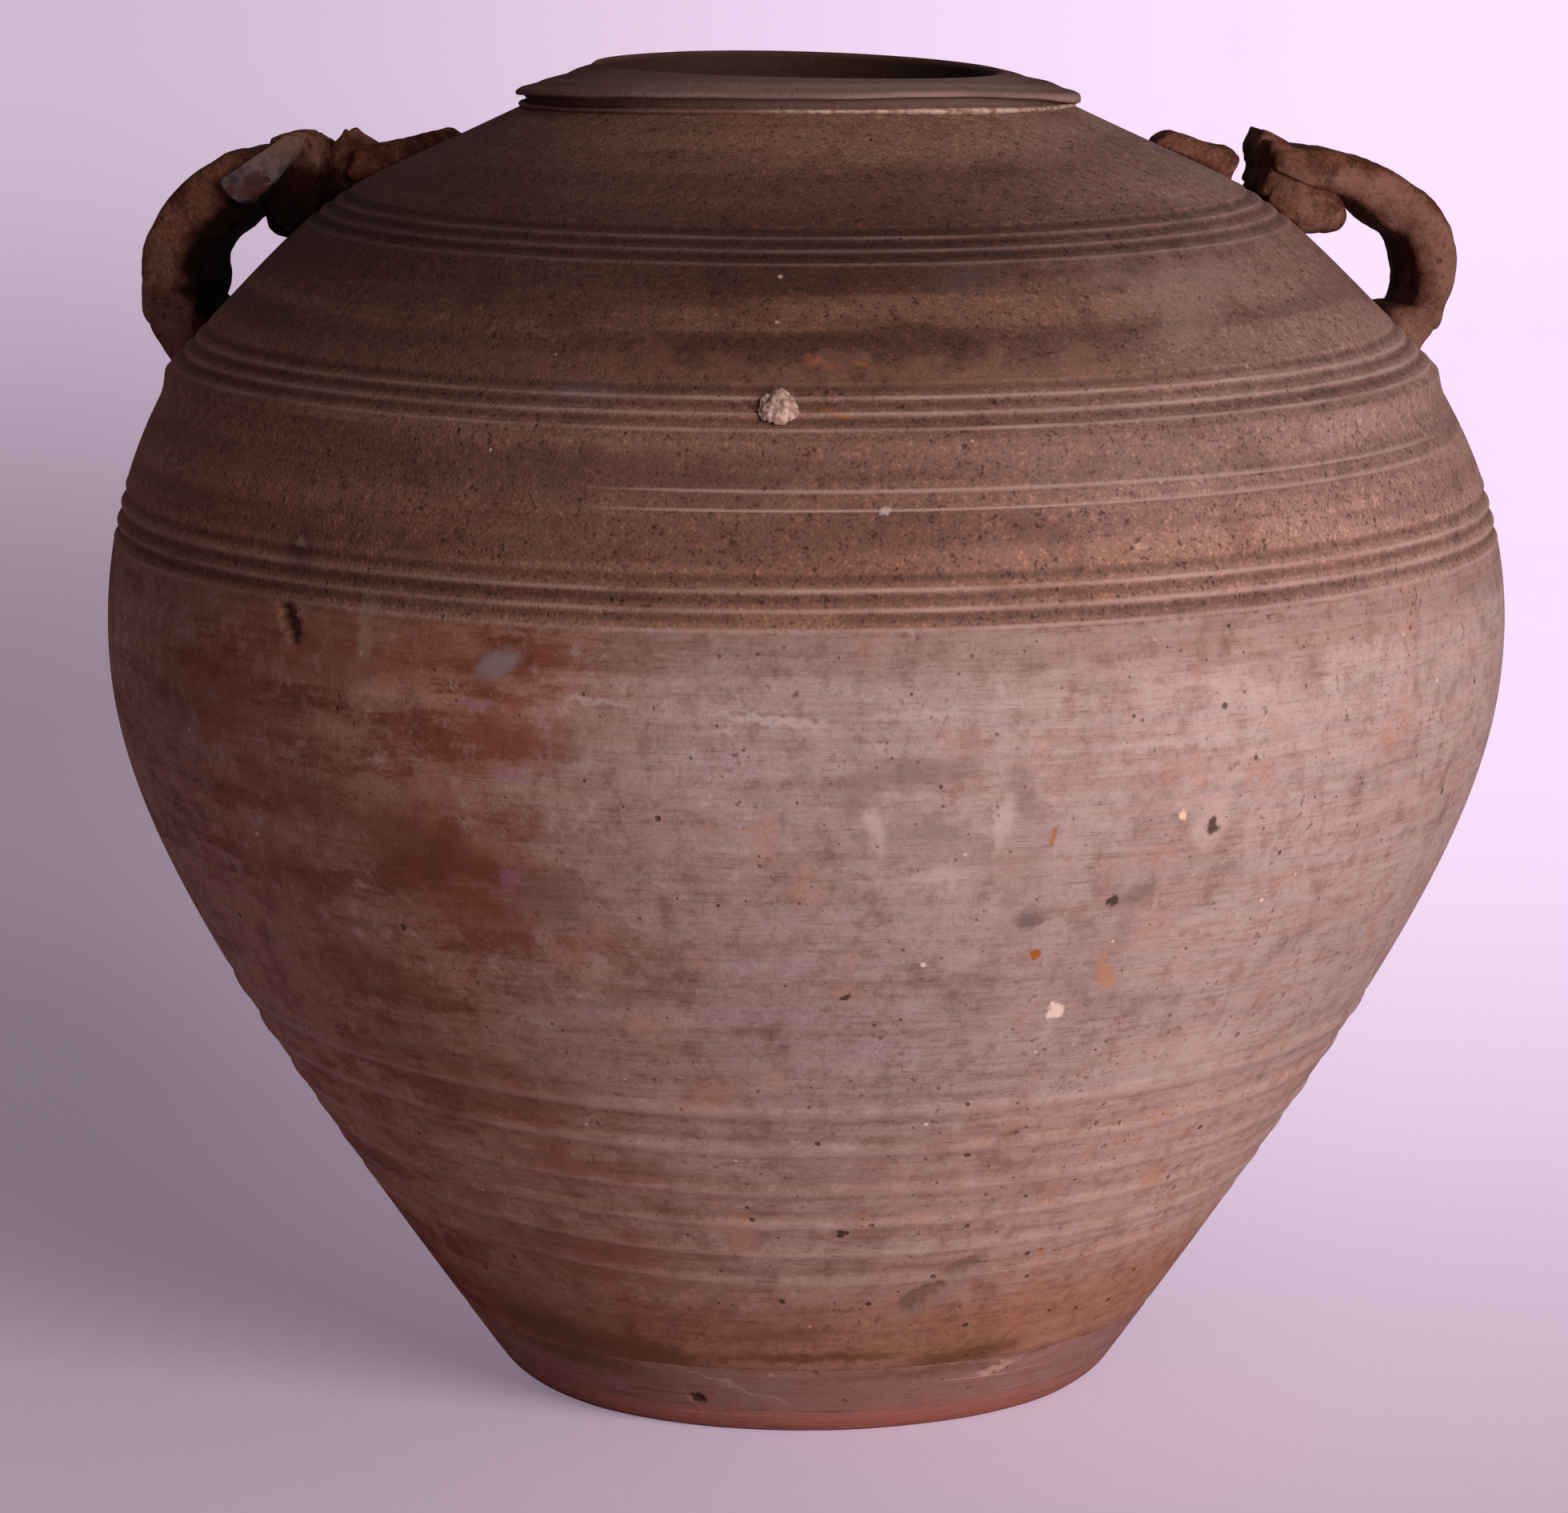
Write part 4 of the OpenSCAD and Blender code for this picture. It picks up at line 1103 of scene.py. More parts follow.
few_pits = use_group(tree, grit_specks, Place=wiped_in["Place"], Cells=120.0, Size=0.12,
                     Share=0.3)["Mask"]
pits = sums(tree, "MAXIMUM", sums(tree, "MULTIPLY", many_pits, 0.7), few_pits)
grit = use_group(tree, grit_specks, Place=wiped_in["Place"], Cells=100.0, Size=0.09,
                 Share=0.22)["Mask"]
rust = use_group(tree, grit_specks, Place=wiped_in["Place"], Cells=48.0, Size=0.05,
                 Share=0.25)["Mask"]
colour = lay_over(tree, sums(tree, "MULTIPLY", pits, 0.8), colour, PIT_DARK)
colour = lay_over(tree, rust, colour, rgb(0.36, 0.1, 0.02))
wire(tree, lay_over(tree, sums(tree, "MULTIPLY", grit, 0.85), colour, GRIT_WHITE),
     wiped_out["Colour"])
wire(tree, sums(tree, "MULTIPLY_ADD", long_streak, 0.3, 0.5), wiped_out["Roughness"])
smooth_relief = sums(tree, "MULTIPLY_ADD", fine_streak, 0.25, sums(tree, "MULTIPLY", film, 0.4))
grainy_relief = sums(tree, "MULTIPLY_ADD", sand["Height"], 0.35, smooth_relief)
wire(tree, sums(tree, "SUBTRACT", grainy_relief, pits), wiped_out["Relief"])
print("group", tree.name, "with", len(tree.nodes), "nodes")

# %% [markdown]
# ## The sandy shoulder clay
# Above the lowest comb band nobody wiped the clay, so its sand stands proud. Each grain is a
# millimetre or less across. Close noise in two sizes gives light and dark grains. It is darker
# than the body, more so at the left and towards the neck; a lighter, greyer colour on its right
# side is a painted sheen.

# %% Group: sandy clay
SANDY_LEFT, SANDY_FRONT, SANDY_RIGHT_PAINTED_SHEEN = rgb(0.22, 0.088, 0.055), rgb(0.165, 0.073, 0.049), rgb(
    0.28, 0.152, 0.124)
sandy_clay, sandy_in, sandy_out = new_group(
    "sandy_clay", [("Place", VECTOR, None), ("Streak Place", VECTOR, None), ("Across", FLOAT, 0.0),
                   ("Height", FLOAT, 0.0)],
    [("Colour", COLOUR), ("Roughness", FLOAT), ("Relief", FLOAT)])
tree = sandy_clay
mottle = add(tree, "TexNoise", Vector=sandy_in["Place"], Scale=14.0, Detail=5.0,
             Roughness=0.6).outputs[0]
banding = add(tree, "TexNoise", Vector=sandy_in["Streak Place"], Scale=4.5, Detail=3.0).outputs[0]
blotch = add(tree, "TexNoise", Vector=sandy_in["Place"], Scale=75.0, Detail=4.0).outputs[0]
side_shift = sums(tree, "MULTIPLY_ADD", sums(tree, "SUBTRACT", mottle, 0.5), 90.0,
                  sandy_in["Across"])
colour = lay_over(tree, soft_step(tree, side_shift, -170.0, -90.0), SANDY_LEFT, SANDY_FRONT)
# Painted sheen: the right side is laid over in a lighter, greyer colour.
colour = lay_over(tree, soft_step(tree, side_shift, 10.0, 150.0), colour, SANDY_RIGHT_PAINTED_SHEEN)
high_up = soft_step(tree, sandy_in["Height"], 302.0, 318.0)
colour = tint(tree, sums(tree, "MULTIPLY", high_up, soft_step(tree, side_shift, 150.0, 20.0)),
              colour, rgb(0.56, 0.5, 0.48))
right_of_left = soft_step(tree, side_shift, -80.0, 0.0)
colour = tint(tree, sums(tree, "MULTIPLY", high_up, right_of_left), colour, rgb(0.72, 0.68, 0.66))
near_neck = sums(tree, "MULTIPLY", soft_step(tree, sandy_in["Height"], 335.0, 352.0),
                 sums(tree, "MULTIPLY_ADD", right_of_left, 0.8, 0.2))
colour = tint(tree, near_neck, colour, rgb(1.85, 2.1, 2.3))
low_down = soft_step(tree, sandy_in["Height"], 280.0, 268.0)
colour = tint(tree, low_down, colour, rgb(1.14, 1.12, 1.08))
colour = tint(tree, soft_step(tree, banding, 0.54, 0.38), colour, rgb(0.74, 0.7, 0.7))
colour = lay_over(tree, sums(tree, "MULTIPLY", soft_step(tree, banding, 0.53, 0.66), 0.35), colour,
                  rgb(0.26, 0.12, 0.072))
colour = tint(tree, sums(tree, "MULTIPLY", soft_step(tree, blotch, 0.46, 0.34), 0.6), colour,
              rgb(0.72, 0.66, 0.64))
sand = use_group(tree, sand_grain, Place=sandy_in["Place"], Grain=1050.0, Strength=1.0)
colour = tint(tree, sand["Dark"], colour, rgb(0.36, 0.31, 0.31))
pale_grain = tint(tree, 1.0, colour, rgb(1.9, 1.85, 1.8))
colour = lay_over(tree, sums(tree, "MULTIPLY", sand["Light"], 0.75), colour, pale_grain)
pits = use_group(tree, grit_specks, Place=sandy_in["Place"], Cells=250.0, Size=0.19,
                 Share=0.22)["Mask"]
grit = use_group(tree, grit_specks, Place=sandy_in["Place"], Cells=120.0, Size=0.1,
                 Share=0.12)["Mask"]
colour = lay_over(tree, sums(tree, "MULTIPLY", pits, 0.75), colour, PIT_DARK)
wire(tree, lay_over(tree, sums(tree, "MULTIPLY", grit, 0.7), colour, rgb(0.5, 0.32, 0.25)),
     sandy_out["Colour"])
wire(tree, sums(tree, "MULTIPLY_ADD", blotch, 0.2, 0.68), sandy_out["Roughness"])
wire(tree, sums(tree, "SUBTRACT", sums(tree, "MULTIPLY_ADD", blotch, 0.6, sand["Height"]), pits),
     sandy_out["Relief"])
print("group", tree.name, "with", len(tree.nodes), "nodes")

# %% [markdown]
# ## Finishes for the wall
# Wear, painted highlight, painted shade and marks lie over the clays. Crests turn pale, partly
# rubbed and partly as a painted highlight that is stronger on the lit side; grooves hold soot; and
# below the lip's flange and inside the mouth the clay is painted darker as painted shade. All come
# from values painted on the meshes, so they follow the real grooves. Single marks, such as a drip
# of pale slip or a rust spot, are ovals at a stated turn and height with a ragged edge.

# %% Helpers for finishes
PALE_WEAR_AND_HIGHLIGHT = rgb(0.43, 0.265, 0.22)


def new_finish(name):
    material = bpy.data.materials.new(name)
    material.use_nodes = True
    material.node_tree.nodes.clear()
    place = material.node_tree.nodes.new("ShaderNodeTexCoord").outputs["Object"]
    return material, material.node_tree, place


def painted(tree, name):
    return add(tree, "Attribute", {"attribute_name": name}).outputs["Fac"]


def close_finish(tree, colour, roughness, relief, depth_mm, specular=0.2):
    bump = add(tree, "Bump", Height=relief, Strength=1.0, Distance=depth_mm * MM)
    surface = add(tree, "BsdfPrincipled", Base_Color=colour, Roughness=roughness,
                  Normal=bump.outputs[0], IOR=1.5, Specular_IOR_Level=specular)
    add(tree, "OutputMaterial", Surface=surface.outputs[0])


def lay_marks(tree, colour, turn, height, marks):
    """Each mark: turn, height, half width, half height, tilt, softness, strength, colour."""
    for at_turn, at_height, wide, tall, tilt_by, soft, strength, mark_colour in marks:
        mask = use_group(tree, spot_mark, Turn=turn, Height=height, At_Turn=at_turn,
                         At_Height=at_height, Half_Width=wide, Half_Height=tall, Tilt=tilt_by,
                         Softness=soft, Radius=float(point_at(s_at(at_height))[0]))["Mask"]
        colour = lay_over(tree, sums(tree, "MULTIPLY", mask, strength), colour, mark_colour)
    return colour


def dress(piece, material):
    piece.data.materials.clear()
    piece.data.materials.append(material)


# %% Body clay
REDDENED, DEEP_RED = rgb(0.19, 0.048, 0.02), rgb(0.13, 0.035, 0.016)
PALE_SLIP, PINK, OCHRE, DUST_GREY = (rgb(0.5, 0.38, 0.35), rgb(0.3, 0.12, 0.17),
                                     rgb(0.13, 0.048, 0.016), rgb(0.27, 0.21, 0.21))
OVAL_BROWN, OVAL_PALE = rgb(0.22, 0.13, 0.115), rgb(0.52, 0.36, 0.32)
KILN_PATCHES = [
    (-31, 182, 30, 11, -8, 0.9, 0.75, REDDENED), (-26, 164, 22, 7, -8, 0.9, 0.7, REDDENED),
    (-44, 190, 24, 7, -6, 0.9, 0.5, DEEP_RED), (-30, 181, 15, 6, -5, 0.9, 0.6, DEEP_RED),
    (-24, 212, 17, 8, 0, 0.6, 0.6, REDDENED), (-55, 215, 34, 12, 0, 0.6, 0.55, REDDENED),
    (-20, 171, 12, 6, 0, 0.6, 0.5, rgb(0.17, 0.1, 0.085)), (-48, 168, 20, 8, 0, 0.6, 0.5, REDDENED),
    (-36, 232, 40, 6, 0, 0.7, 0.5, REDDENED), (-42, 140, 30, 8, -10, 0.7, 0.5, REDDENED),
    (-34, 110, 34, 9, -6, 0.7, 0.5, REDDENED), (-24, 86, 26, 7, 0, 0.7, 0.5, REDDENED),
    (-30, 58, 34, 9, 0, 0.7, 0.6, REDDENED), (16, 176, 9, 12, 20, 0.7, 0.3, rgb(0.26, 0.16, 0.13))]
BODY_MARKS = [
    (-24, 232, 10, 6, 10, 0.6, 0.5, DEEP_RED), (-24, 233, 6.2, 3.3, 25, 0.5, 0.6, DUST_GREY), (-26, 222, 6, 1.0, 0, 0.5, 0.6, PINK),
    (-23, 204, 5, 1.4, -8, 0.6, 0.6, PINK), (-24, 175, 4, 2.2, 0, 0.6, 0.6, PINK),
    (-36, 236, 2.6, 5, 0, 0.5, 0.5, rgb(0.34, 0.22, 0.15)),
    (8.4, 207, 14, 3.4, 4, 0.8, 0.8, OVAL_BROWN), (3.6, 200, 3.2, 6, -20, 0.8, 0.65, OVAL_BROWN),
    (16.4, 200, 3.2, 8, 20, 0.8, 0.65, OVAL_BROWN), (9.6, 190, 9, 4, -8, 0.9, 0.5, OVAL_BROWN),
    (5, 192, 2.0, 6.5, 16, 0.6, 0.6, OVAL_PALE), (14.9, 192, 2.2, 7.5, -10, 0.6, 0.55, OVAL_PALE),
    (10.5, 178.6, 10, 1.6, 4, 0.7, 0.5, OVAL_PALE),
    (18, 164.5, 4.4, 1.9, 0, 0.3, 0.75, rgb(0.15, 0.1, 0.09)), (18, 167, 2.6, 1.9, 0, 0.4, 0.5,
                                                               rgb(0.18, 0.12, 0.11)),
    (19, 188, 0.7, 2.1, 0, 0.3, 0.9, rgb(0.36, 0.12, 0.02)),
    (19, 154.5, 1.7, 1.5, 0, 0.3, 0.95, rgb(0.36, 0.09, 0.01)),
    (26, 147, 2.4, 5, 25, 0.5, 0.6, rgb(0.5, 0.2, 0.08)),
    (22, 137, 2.3, 2.6, 20, 0.2, 0.95, rgb(0.8, 0.55, 0.45)),
    (3, 144, 1.5, 1.0, 0, 0.3, 0.9, PIT_DARK), (33, 189, 5, 6, 0, 0.8, 0.5, rgb(0.55, 0.36, 0.3)),
    (33, 187, 1.9, 2.6, -20, 0.4, 0.9, PIT_DARK), (30, 191, 1.5, 1.5, 0, 0.4, 0.9,
                                                   rgb(0.85, 0.5, 0.35)),
    (27, 170, 5, 2.4, 25, 0.6, 0.5, rgb(0.16, 0.1, 0.09)), (25, 168.5, 1.6, 1.5, 0, 0.3, 0.9, PIT_DARK),
    (-3, 221, 15, 1.2, -6, 0.5, 0.5, PALE_SLIP), (-16, 225, 9, 0.9, -3, 0.5, 0.4, PALE_SLIP),
    (8, 222, 12, 1.1, 2, 0.6, 0.35, PALE_SLIP), (-9, 113, 8, 4, 10, 0.7, 0.4, rgb(0.42, 0.17, 0.08)),
    (31, 211, 30, 1.2, 0, 0.6, 0.4, PALE_SLIP), (38, 118, 22, 6, 8, 0.8, 0.45, rgb(0.56, 0.38, 0.33)),
    (17, 48, 13, 5, 38, 0.4, 0.45, rgb(0.24, 0.15, 0.12)),
    (4, 69, 1.2, 1.2, 0, 0.3, 0.95, PIT_DARK), (-41, 28, 26, 6, -6, 0.6, 0.85, OCHRE),
    (-24, 25, 14, 4, -4, 0.6, 0.85, OCHRE), (2, 26.5, 22, 1.6, 0, 0.7, 0.85, OCHRE),
    (-5, 34, 16, 2.2, 4, 0.8, 0.55, OCHRE), (25, 24.5, 17, 2.6, 3, 0.6, 0.85, OCHRE)]


def wall_finish(name, marks, patches, wiped_below):
    material, tree, place = new_finish(name)
    spot = use_group(tree, jar_place, Place=place, Ragged=5.0)
    cloudy = use_group(tree, jar_place, Place=place, Ragged=30.0, Rag_Scale=75.0)
    wiped = use_group(tree, wiped_clay, Place=place, Streak_Place=spot["Streak Place"],
                      Across=spot["Across"])
    sandy = use_group(tree, sandy_clay, Place=place, Streak_Place=spot["Streak Place"],
                      Across=spot["Across"], Height=spot["Height"])
    up = soft_step(tree, spot["Height"], wiped_below - 0.9, wiped_below + 0.9)
    colour = lay_over(tree, up, wiped["Colour"], sandy["Colour"])
    low = soft_step(tree, spot["Height"], 62.0, 34.0)
    colour = tint(tree, low, colour, rgb(0.8, 0.6, 0.47))
    below_belly = soft_step(tree, spot["Height"], 125.0, 85.0)
    colour = tint(tree, below_belly, colour, rgb(1.06, 0.98, 0.9))
    under_comb = sums(tree, "MULTIPLY", soft_step(tree, spot["Height"], 226.0, 240.0),
                      sums(tree, "SUBTRACT", 1.0, up))
    colour = tint(tree, sums(tree, "MULTIPLY", under_comb, 0.85), colour, rgb(0.74, 0.65, 0.6))
    colour = lay_marks(tree, colour, cloudy["Turn"], cloudy["Height"], patches)
    colour = lay_marks(tree, colour, spot["Turn"], spot["Height"], marks)
    # Dark values: dust and soot in the grooves, darker chips, and painted shade under the lip's flange and
    # inside the mouth.
    colour = tint(tree, painted(tree, "dirt_and_shade"), colour, rgb(0.16, 0.11, 0.1))
    # Pale crests and ridges: partly rubbed wear, partly a painted highlight that is stronger on the lit
    # side.
    colour = lay_over(tree, sums(tree, "MULTIPLY", painted(tree, "worn"), 0.8), colour, PALE_WEAR_AND_HIGHLIGHT)
    mix = add(tree, "Mix", {"data_type": "FLOAT"})
    wire(tree, up, mix.inputs[0])
    wire(tree, wiped["Roughness"], mix.inputs[2])
    wire(tree, sandy["Roughness"], mix.inputs[3])
    relief = add(tree, "Mix", {"data_type": "FLOAT"})
    wire(tree, up, relief.inputs[0])
    wire(tree, wiped["Relief"], relief.inputs[2])
    wire(tree, sandy["Relief"], relief.inputs[3])
    close_finish(tree, colour, mix.outputs[0], relief.outputs[0], 0.35)
    print(name, "has", len(marks), "single marks and", len(patches), "patches")
    return material


body_finish = wall_finish("wiped body clay", BODY_MARKS, KILN_PATCHES, 243.3)
dress(lower_wall, body_finish)
dress(belly_wall, body_finish)

# %% Shoulder clay
SOOT_PATCHES = [(-15, 283, 60, 5, 0, 0.7, 0.3, rgb(0.08, 0.04, 0.034)),
                (30, 284, 40, 4, 0, 0.7, 0.3, rgb(0.12, 0.065, 0.055)),
                (20, 306, 70, 3.5, 0, 0.7, 0.45, rgb(0.2, 0.09, 0.05)),
                (-20, 308, 50, 3, 0, 0.7, 0.4, rgb(0.15, 0.06, 0.035)),
                (45, 325, 30, 6, 0, 0.8, 0.35, rgb(0.25, 0.16, 0.145))]
SHOULDER_MARKS = [
    (-44, 258, 5, 5, 0, 0.6, 0.7, rgb(0.07, 0.03, 0.02)), (-44, 259, 2.2, 1.2, -10, 0.5, 0.6,
                                                          rgb(0.3, 0.17, 0.12)),
    (-36, 245, 3, 4, 0, 0.5, 0.35, rgb(0.3, 0.2, 0.15)),
    (-20, 302, 9, 2.2, 0, 0.7, 0.4, rgb(0.14, 0.09, 0.1)), (1, 310, 4, 0.9, -12, 0.7, 0.55,
                                                           rgb(0.3, 0.07, 0.03)),
    (5, 309, 3, 0.7, -15, 0.7, 0.4, rgb(0.3, 0.08, 0.03)), (2.2, 297.6, 4.4, 0.5, -8, 0.4, 0.9,
                                                            rgb(0.3, 0.08, 0.02)),
    (6, 273.5, 1.6, 1.0, 0, 0.5, 0.6, rgb(0.55, 0.42, 0.4)), (-6, 266, 1.3, 0.9, 10, 0.4, 0.9, PIT_DARK),
    (40, 314, 12, 3, 5, 0.8, 0.4, rgb(0.3, 0.17, 0.13)), (17, 329, 9, 3.5, 8, 0.8, 0.5,
                                                         rgb(0.07, 0.04, 0.035)),
    (27, 262, 2.2, 0.8, 0, 0.5, 0.5, rgb(0.5, 0.3, 0.22))]
shoulder_finish = wall_finish("sandy shoulder clay", SHOULDER_MARKS, SOOT_PATCHES, 243.3)
dress(upper_side_wall, shoulder_finish)
dress(shoulder_dome, shoulder_finish)

# %% [markdown]
# ## Foot and lip finishes
# The foot was never wiped. It is redder, brightest along the lowest edge where dragging wore it
# to fresh clay. The lip has the shoulder's sandy clay, rubbed along its edge.

# %% Foot and lip
FOOT_RED, FOOT_EDGE = rgb(0.235, 0.088, 0.066), rgb(0.36, 0.115, 0.08)
material, tree, place = new_finish("worn red foot")
spot = use_group(tree, jar_place, Place=place, Ragged=7.0)
wiped = use_group(tree, wiped_clay, Place=place, Streak_Place=spot["Streak Place"],
                  Across=spot["Across"])
scuffs = add(tree, "TexNoise", Vector=spot["Streak Place"], Scale=16.0, Detail=6.0,
             Roughness=0.7).outputs[0]
colour = lay_over(tree, 0.72, wiped["Colour"], FOOT_RED)
colour = lay_over(tree, sums(tree, "MULTIPLY", soft_step(tree, spot["Height"], 11.0, 2.0),
                             soft_step(tree, scuffs, 0.35, 0.5)), colour, FOOT_EDGE)
colour = lay_over(tree, sums(tree, "MULTIPLY", soft_step(tree, scuffs, 0.6, 0.68), 0.7), colour,
                  rgb(0.5, 0.25, 0.19))
colour = tint(tree, sums(tree, "MULTIPLY", soft_step(tree, scuffs, 0.44, 0.34), 0.8), colour,
              rgb(0.5, 0.42, 0.42))
colour = lay_marks(tree, colour, spot["Turn"], spot["Height"], [
    (-19, 11, 2.6, 1.6, -10, 0.3, 0.95, PIT_DARK), (-12, 16, 18, 0.5, -20, 0.5, 0.45,
                                                   rgb(0.45, 0.27, 0.2)),
    (-41, 20, 24, 3.5, -4, 0.7, 0.8, OCHRE), (20, 20, 30, 1.6, 2, 0.8, 0.5, OCHRE),
    (33, 18, 7, 1.2, 14, 0.5, 0.7, rgb(0.55, 0.3, 0.24))])
close_finish(tree, colour, 0.74, sums(tree, "ADD", wiped["Relief"], scuffs), 0.4)
dress(base_disc, material)

# Painted shade: the back half of the lip, with the inside of the mouth seen through it, is painted dark.
THROAT_PAINTED_SHADE = rgb(0.07, 0.026, 0.016)
lip_finish = wall_finish("rubbed lip clay", [
    (20, 366, 60, 1.6, 0, 0.6, 0.6, rgb(0.2, 0.085, 0.06)),
    (30, 373.5, 85, 5, 0, 0.5, 0.5, rgb(0.27, 0.16, 0.135)),
    (150, 372, 90, 6, 0, 0.4, 0.8, THROAT_PAINTED_SHADE), (-150, 372, 90, 6, 0, 0.4, 0.8, THROAT_PAINTED_SHADE)],
    [], 243.3)
dress(lip_collar, lip_finish)

# %% [markdown]
# ## Handle clay, broken clay and pale clay
# The handles are the darkest clay, with soot and painted shade in their crooks, and their outer
# faces are rubbed to a grey tan. Where a leaf broke off the left handle the fracture is rough and
# grey-white with a red rim. The bead under the lip and the kiln crumb are pale and dry.

# %% Handle clay
material, tree, place = new_finish("sooty handle clay")
patches = add(tree, "TexNoise", Vector=place, Scale=95.0, Detail=6.0, Roughness=0.65).outputs[0]
colour = lay_over(tree, soft_step(tree, patches, 0.4, 0.62), rgb(0.066, 0.018, 0.009),
                  rgb(0.145, 0.05, 0.029))
worn_away = sums(tree, "MULTIPLY", painted(tree, "worn"), soft_step(tree, patches, 0.25, 0.5))
colour = lay_over(tree, sums(tree, "MULTIPLY", worn_away, 0.75), colour, rgb(0.2, 0.09, 0.062))
sand = use_group(tree, sand_grain, Place=place, Grain=900.0, Strength=0.8)
colour = tint(tree, sand["Dark"], colour, rgb(0.45, 0.4, 0.4))
colour = lay_over(tree, sums(tree, "MULTIPLY", sand["Light"], 0.4), colour, rgb(0.28, 0.15, 0.11))
# Painted shade with some soot: the handles' crooks and the clay under knobs and pads are painted darker.
colour = tint(tree, painted(tree, "dirt_and_shade"), colour, rgb(0.1, 0.045, 0.035))
pits = use_group(tree, grit_specks, Place=place, Cells=160.0, Size=0.2, Share=0.3)["Mask"]
colour = lay_over(tree, sums(tree, "MULTIPLY", pits, 0.7), colour, PIT_DARK)
relief = sums(tree, "SUBTRACT", sums(tree, "MULTIPLY_ADD", patches, 1.5, sand["Height"]), pits)
close_finish(tree, colour, sums(tree, "MULTIPLY_ADD", patches, -0.2, 0.85), relief, 0.5, 0.08)
handle_finish = material
for piece in pieces.values():
    dress(piece, handle_finish)

# %% Broken clay
material, tree, place = new_finish("fresh broken clay")
chunks = add(tree, "TexNoise", Vector=place, Scale=180.0, Detail=6.0, Roughness=0.7).outputs[0]
colour = lay_over(tree, soft_step(tree, chunks, 0.36, 0.6), rgb(0.05, 0.031, 0.035),
                  rgb(0.15, 0.095, 0.092))
spot = use_group(tree, jar_place, Place=place, Ragged=8.0)
colour = lay_over(tree, sums(tree, "MULTIPLY", soft_step(tree, spot["Height"], 343.0, 352.0), 0.75),
                  colour, rgb(0.2, 0.095, 0.066))
rust_rim = add(tree, "TexNoise", Vector=place, Scale=85.0, Detail=3.0).outputs[0]
colour = lay_over(tree, sums(tree, "MULTIPLY", soft_step(tree, rust_rim, 0.5, 0.6), 0.85), colour,
                  rgb(0.075, 0.02, 0.01))
pits = use_group(tree, grit_specks, Place=place, Cells=230.0, Size=0.28, Share=0.35)["Mask"]
colour = lay_over(tree, sums(tree, "MULTIPLY", pits, 0.85), colour, PIT_DARK)
close_finish(tree, colour, 0.8, sums(tree, "SUBTRACT", chunks, pits), 0.8)
dress(pieces["left_leaf_stub"], material)

# %% Pale clay
material, tree, place = new_finish("pale dry clay")
crumbs = add(tree, "TexNoise", Vector=place, Scale=320.0, Detail=5.0, Roughness=0.65).outputs[0]
colour = lay_over(tree, soft_step(tree, crumbs, 0.38, 0.6), rgb(0.26, 0.13, 0.09),
                  rgb(0.52, 0.34, 0.27))
spot = use_group(tree, jar_place, Place=place, Ragged=9.0)
hidden = sums(tree, "MULTIPLY", soft_step(tree, spot["Across"], 6.0, -22.0),
              soft_step(tree, spot["Height"], 340.0, 350.0))
colour = lay_over(tree, hidden, colour, rgb(0.17, 0.08, 0.06))
close_finish(tree, colour, 0.85, crumbs, 0.5, 0.2)
dress(kiln_crumb, material)
dress(neck_lute, material)
print("finishes:", sorted(material.name for material in bpy.data.materials))

# %% [markdown]
# ## Floor
# The jar stands on a pale lilac paper sweep. The floor is a wide disc that takes the jar's shadow.
# Paper further off was lit by other lamps, brighter at the right, so a wash that only the camera
# sees is added by place.

# %% Floor
FLOOR_R = 12.0
rim = np.radians(np.arange(0, 360, 5))
floor_mesh = bpy.data.meshes.new("paper_floor")
floor_mesh.from_pydata([(FLOOR_R * math.cos(a), FLOOR_R * math.sin(a), 0) for a in rim], [],
                       [list(range(len(rim)))])
floor = bpy.data.objects.new("paper_floor", floor_mesh)
bpy.context.scene.collection.objects.link(floor)
material, tree, place = new_finish("lilac paper")
split = add(tree, "SeparateXYZ", Vector=place).outputs
depth = sums(tree, "ADD", split["Y"], 1.861)
side = sums(tree, "DIVIDE", split["X"], depth)
depth_share = sums(tree, "DIVIDE", 0.498, depth)
fibre = add(tree, "TexNoise", Vector=place, Scale=220.0, Detail=4.0).outputs[0]
paper = lay_over(tree, fibre, rgb(0.6, 0.47, 0.57), rgb(0.66, 0.52, 0.63))
to_right = soft_step(tree, side, -0.12, 0.1)
upper_wash = soft_step(tree, depth_share, 0.17, 0.06)
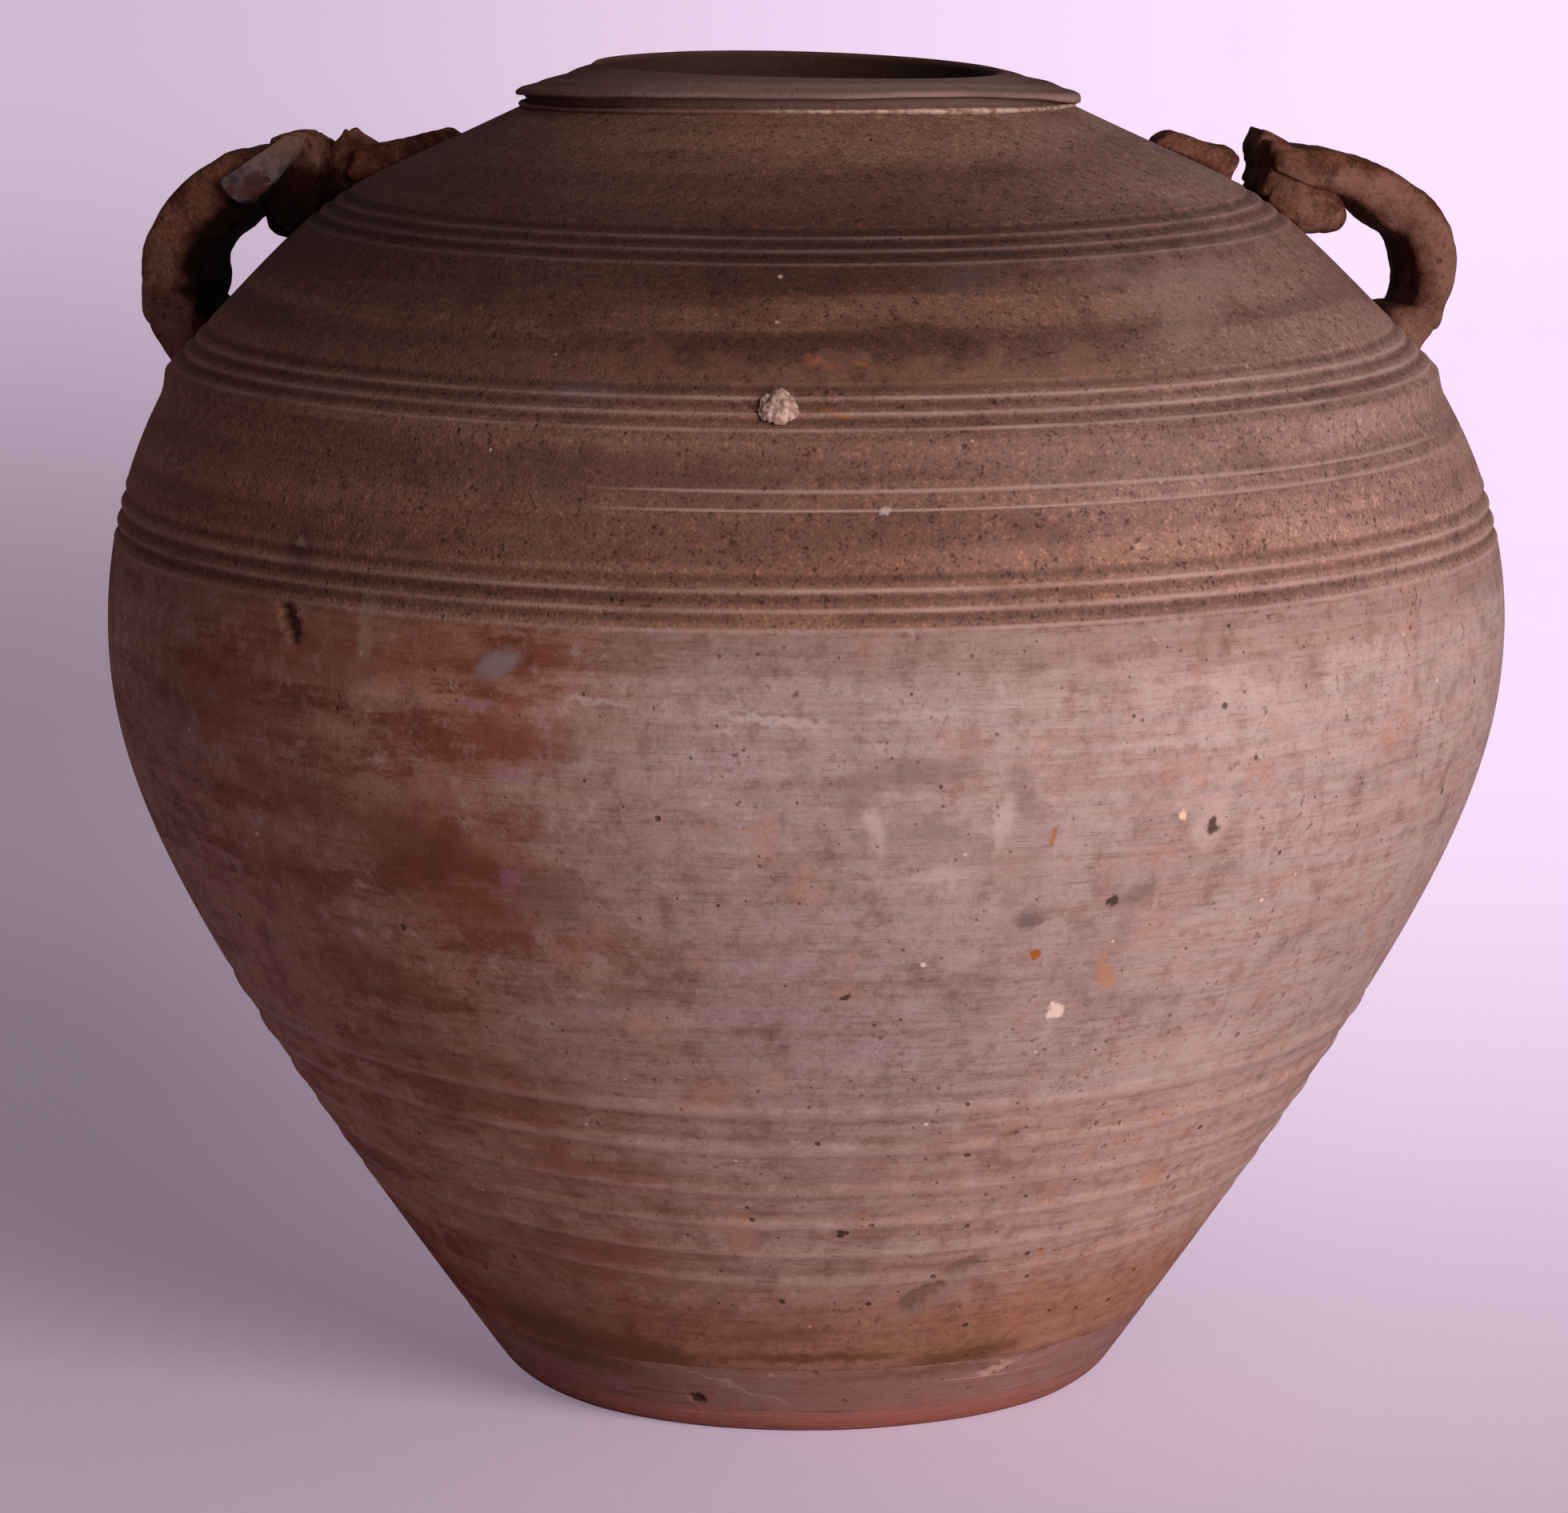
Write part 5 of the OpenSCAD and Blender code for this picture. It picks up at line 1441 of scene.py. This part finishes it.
away = soft_step(tree, depth_share, 0.33, 0.15)
close_by = soft_step(tree, depth_share, 0.24, 0.3)
wash = sums(tree, "MULTIPLY_ADD", sums(tree, "MULTIPLY", to_right, away), 0.69, 0.14)
wash = sums(tree, "MULTIPLY_ADD", upper_wash, sums(tree, "MULTIPLY_ADD", to_right, -0.3, 0.41), wash)
wash = sums(tree, "MULTIPLY_ADD", close_by, 0.01, wash)
seen = add(tree, "LightPath").outputs["Is Camera Ray"]
surface = add(tree, "BsdfPrincipled", Base_Color=paper, Roughness=0.9, IOR=1.45,
              Specular_IOR_Level=0.2, Emission_Color=rgb(0.96, 0.76, 1.0),
              Emission_Strength=sums(tree, "MULTIPLY", wash, seen))
bump = add(tree, "Bump", Height=fibre, Strength=0.3, Distance=0.0002)
wire(tree, bump.outputs[0], surface.inputs["Normal"])
add(tree, "OutputMaterial", Surface=surface.outputs[0])
dress(floor, material)
print("floor radius", FLOOR_R, "m")

# %% [markdown]
# ## Light
# One large soft lamp stands low at the front right, about a man's height away from the jar's
# belly, so the left side falls into shade and each groove shows. The world gives a weak fill.

# %% Lamp and world
KEY_TURN, KEY_UP, KEY_AWAY, KEY_SIZE, KEY_POWER = 38.0, 14.0, 2.6, 1.6, 68.0
AIM = Vector((0, 0, 0.2))
lamp = bpy.data.lights.new("key_lamp", "AREA")
lamp.shape, lamp.size, lamp.energy = "DISK", KEY_SIZE, KEY_POWER
key = bpy.data.objects.new("key_lamp", lamp)
level_x, level_y = along(KEY_TURN - 90)
flat, rise = along(KEY_UP)
key.location = AIM + KEY_AWAY * Vector((level_x * flat, level_y * flat, rise))
key.rotation_euler = (AIM - key.location).to_track_quat("-Z", "Y").to_euler()
bpy.context.scene.collection.objects.link(key)

world = bpy.data.worlds.new("pale_room")
world.use_nodes = True
world.node_tree.nodes["Background"].inputs["Color"].default_value = rgb(0.95, 0.86, 0.95)
world.node_tree.nodes["Background"].inputs["Strength"].default_value = 0.16
bpy.context.scene.world = world
print("lamp at", [round(value, 2) for value in key.location])
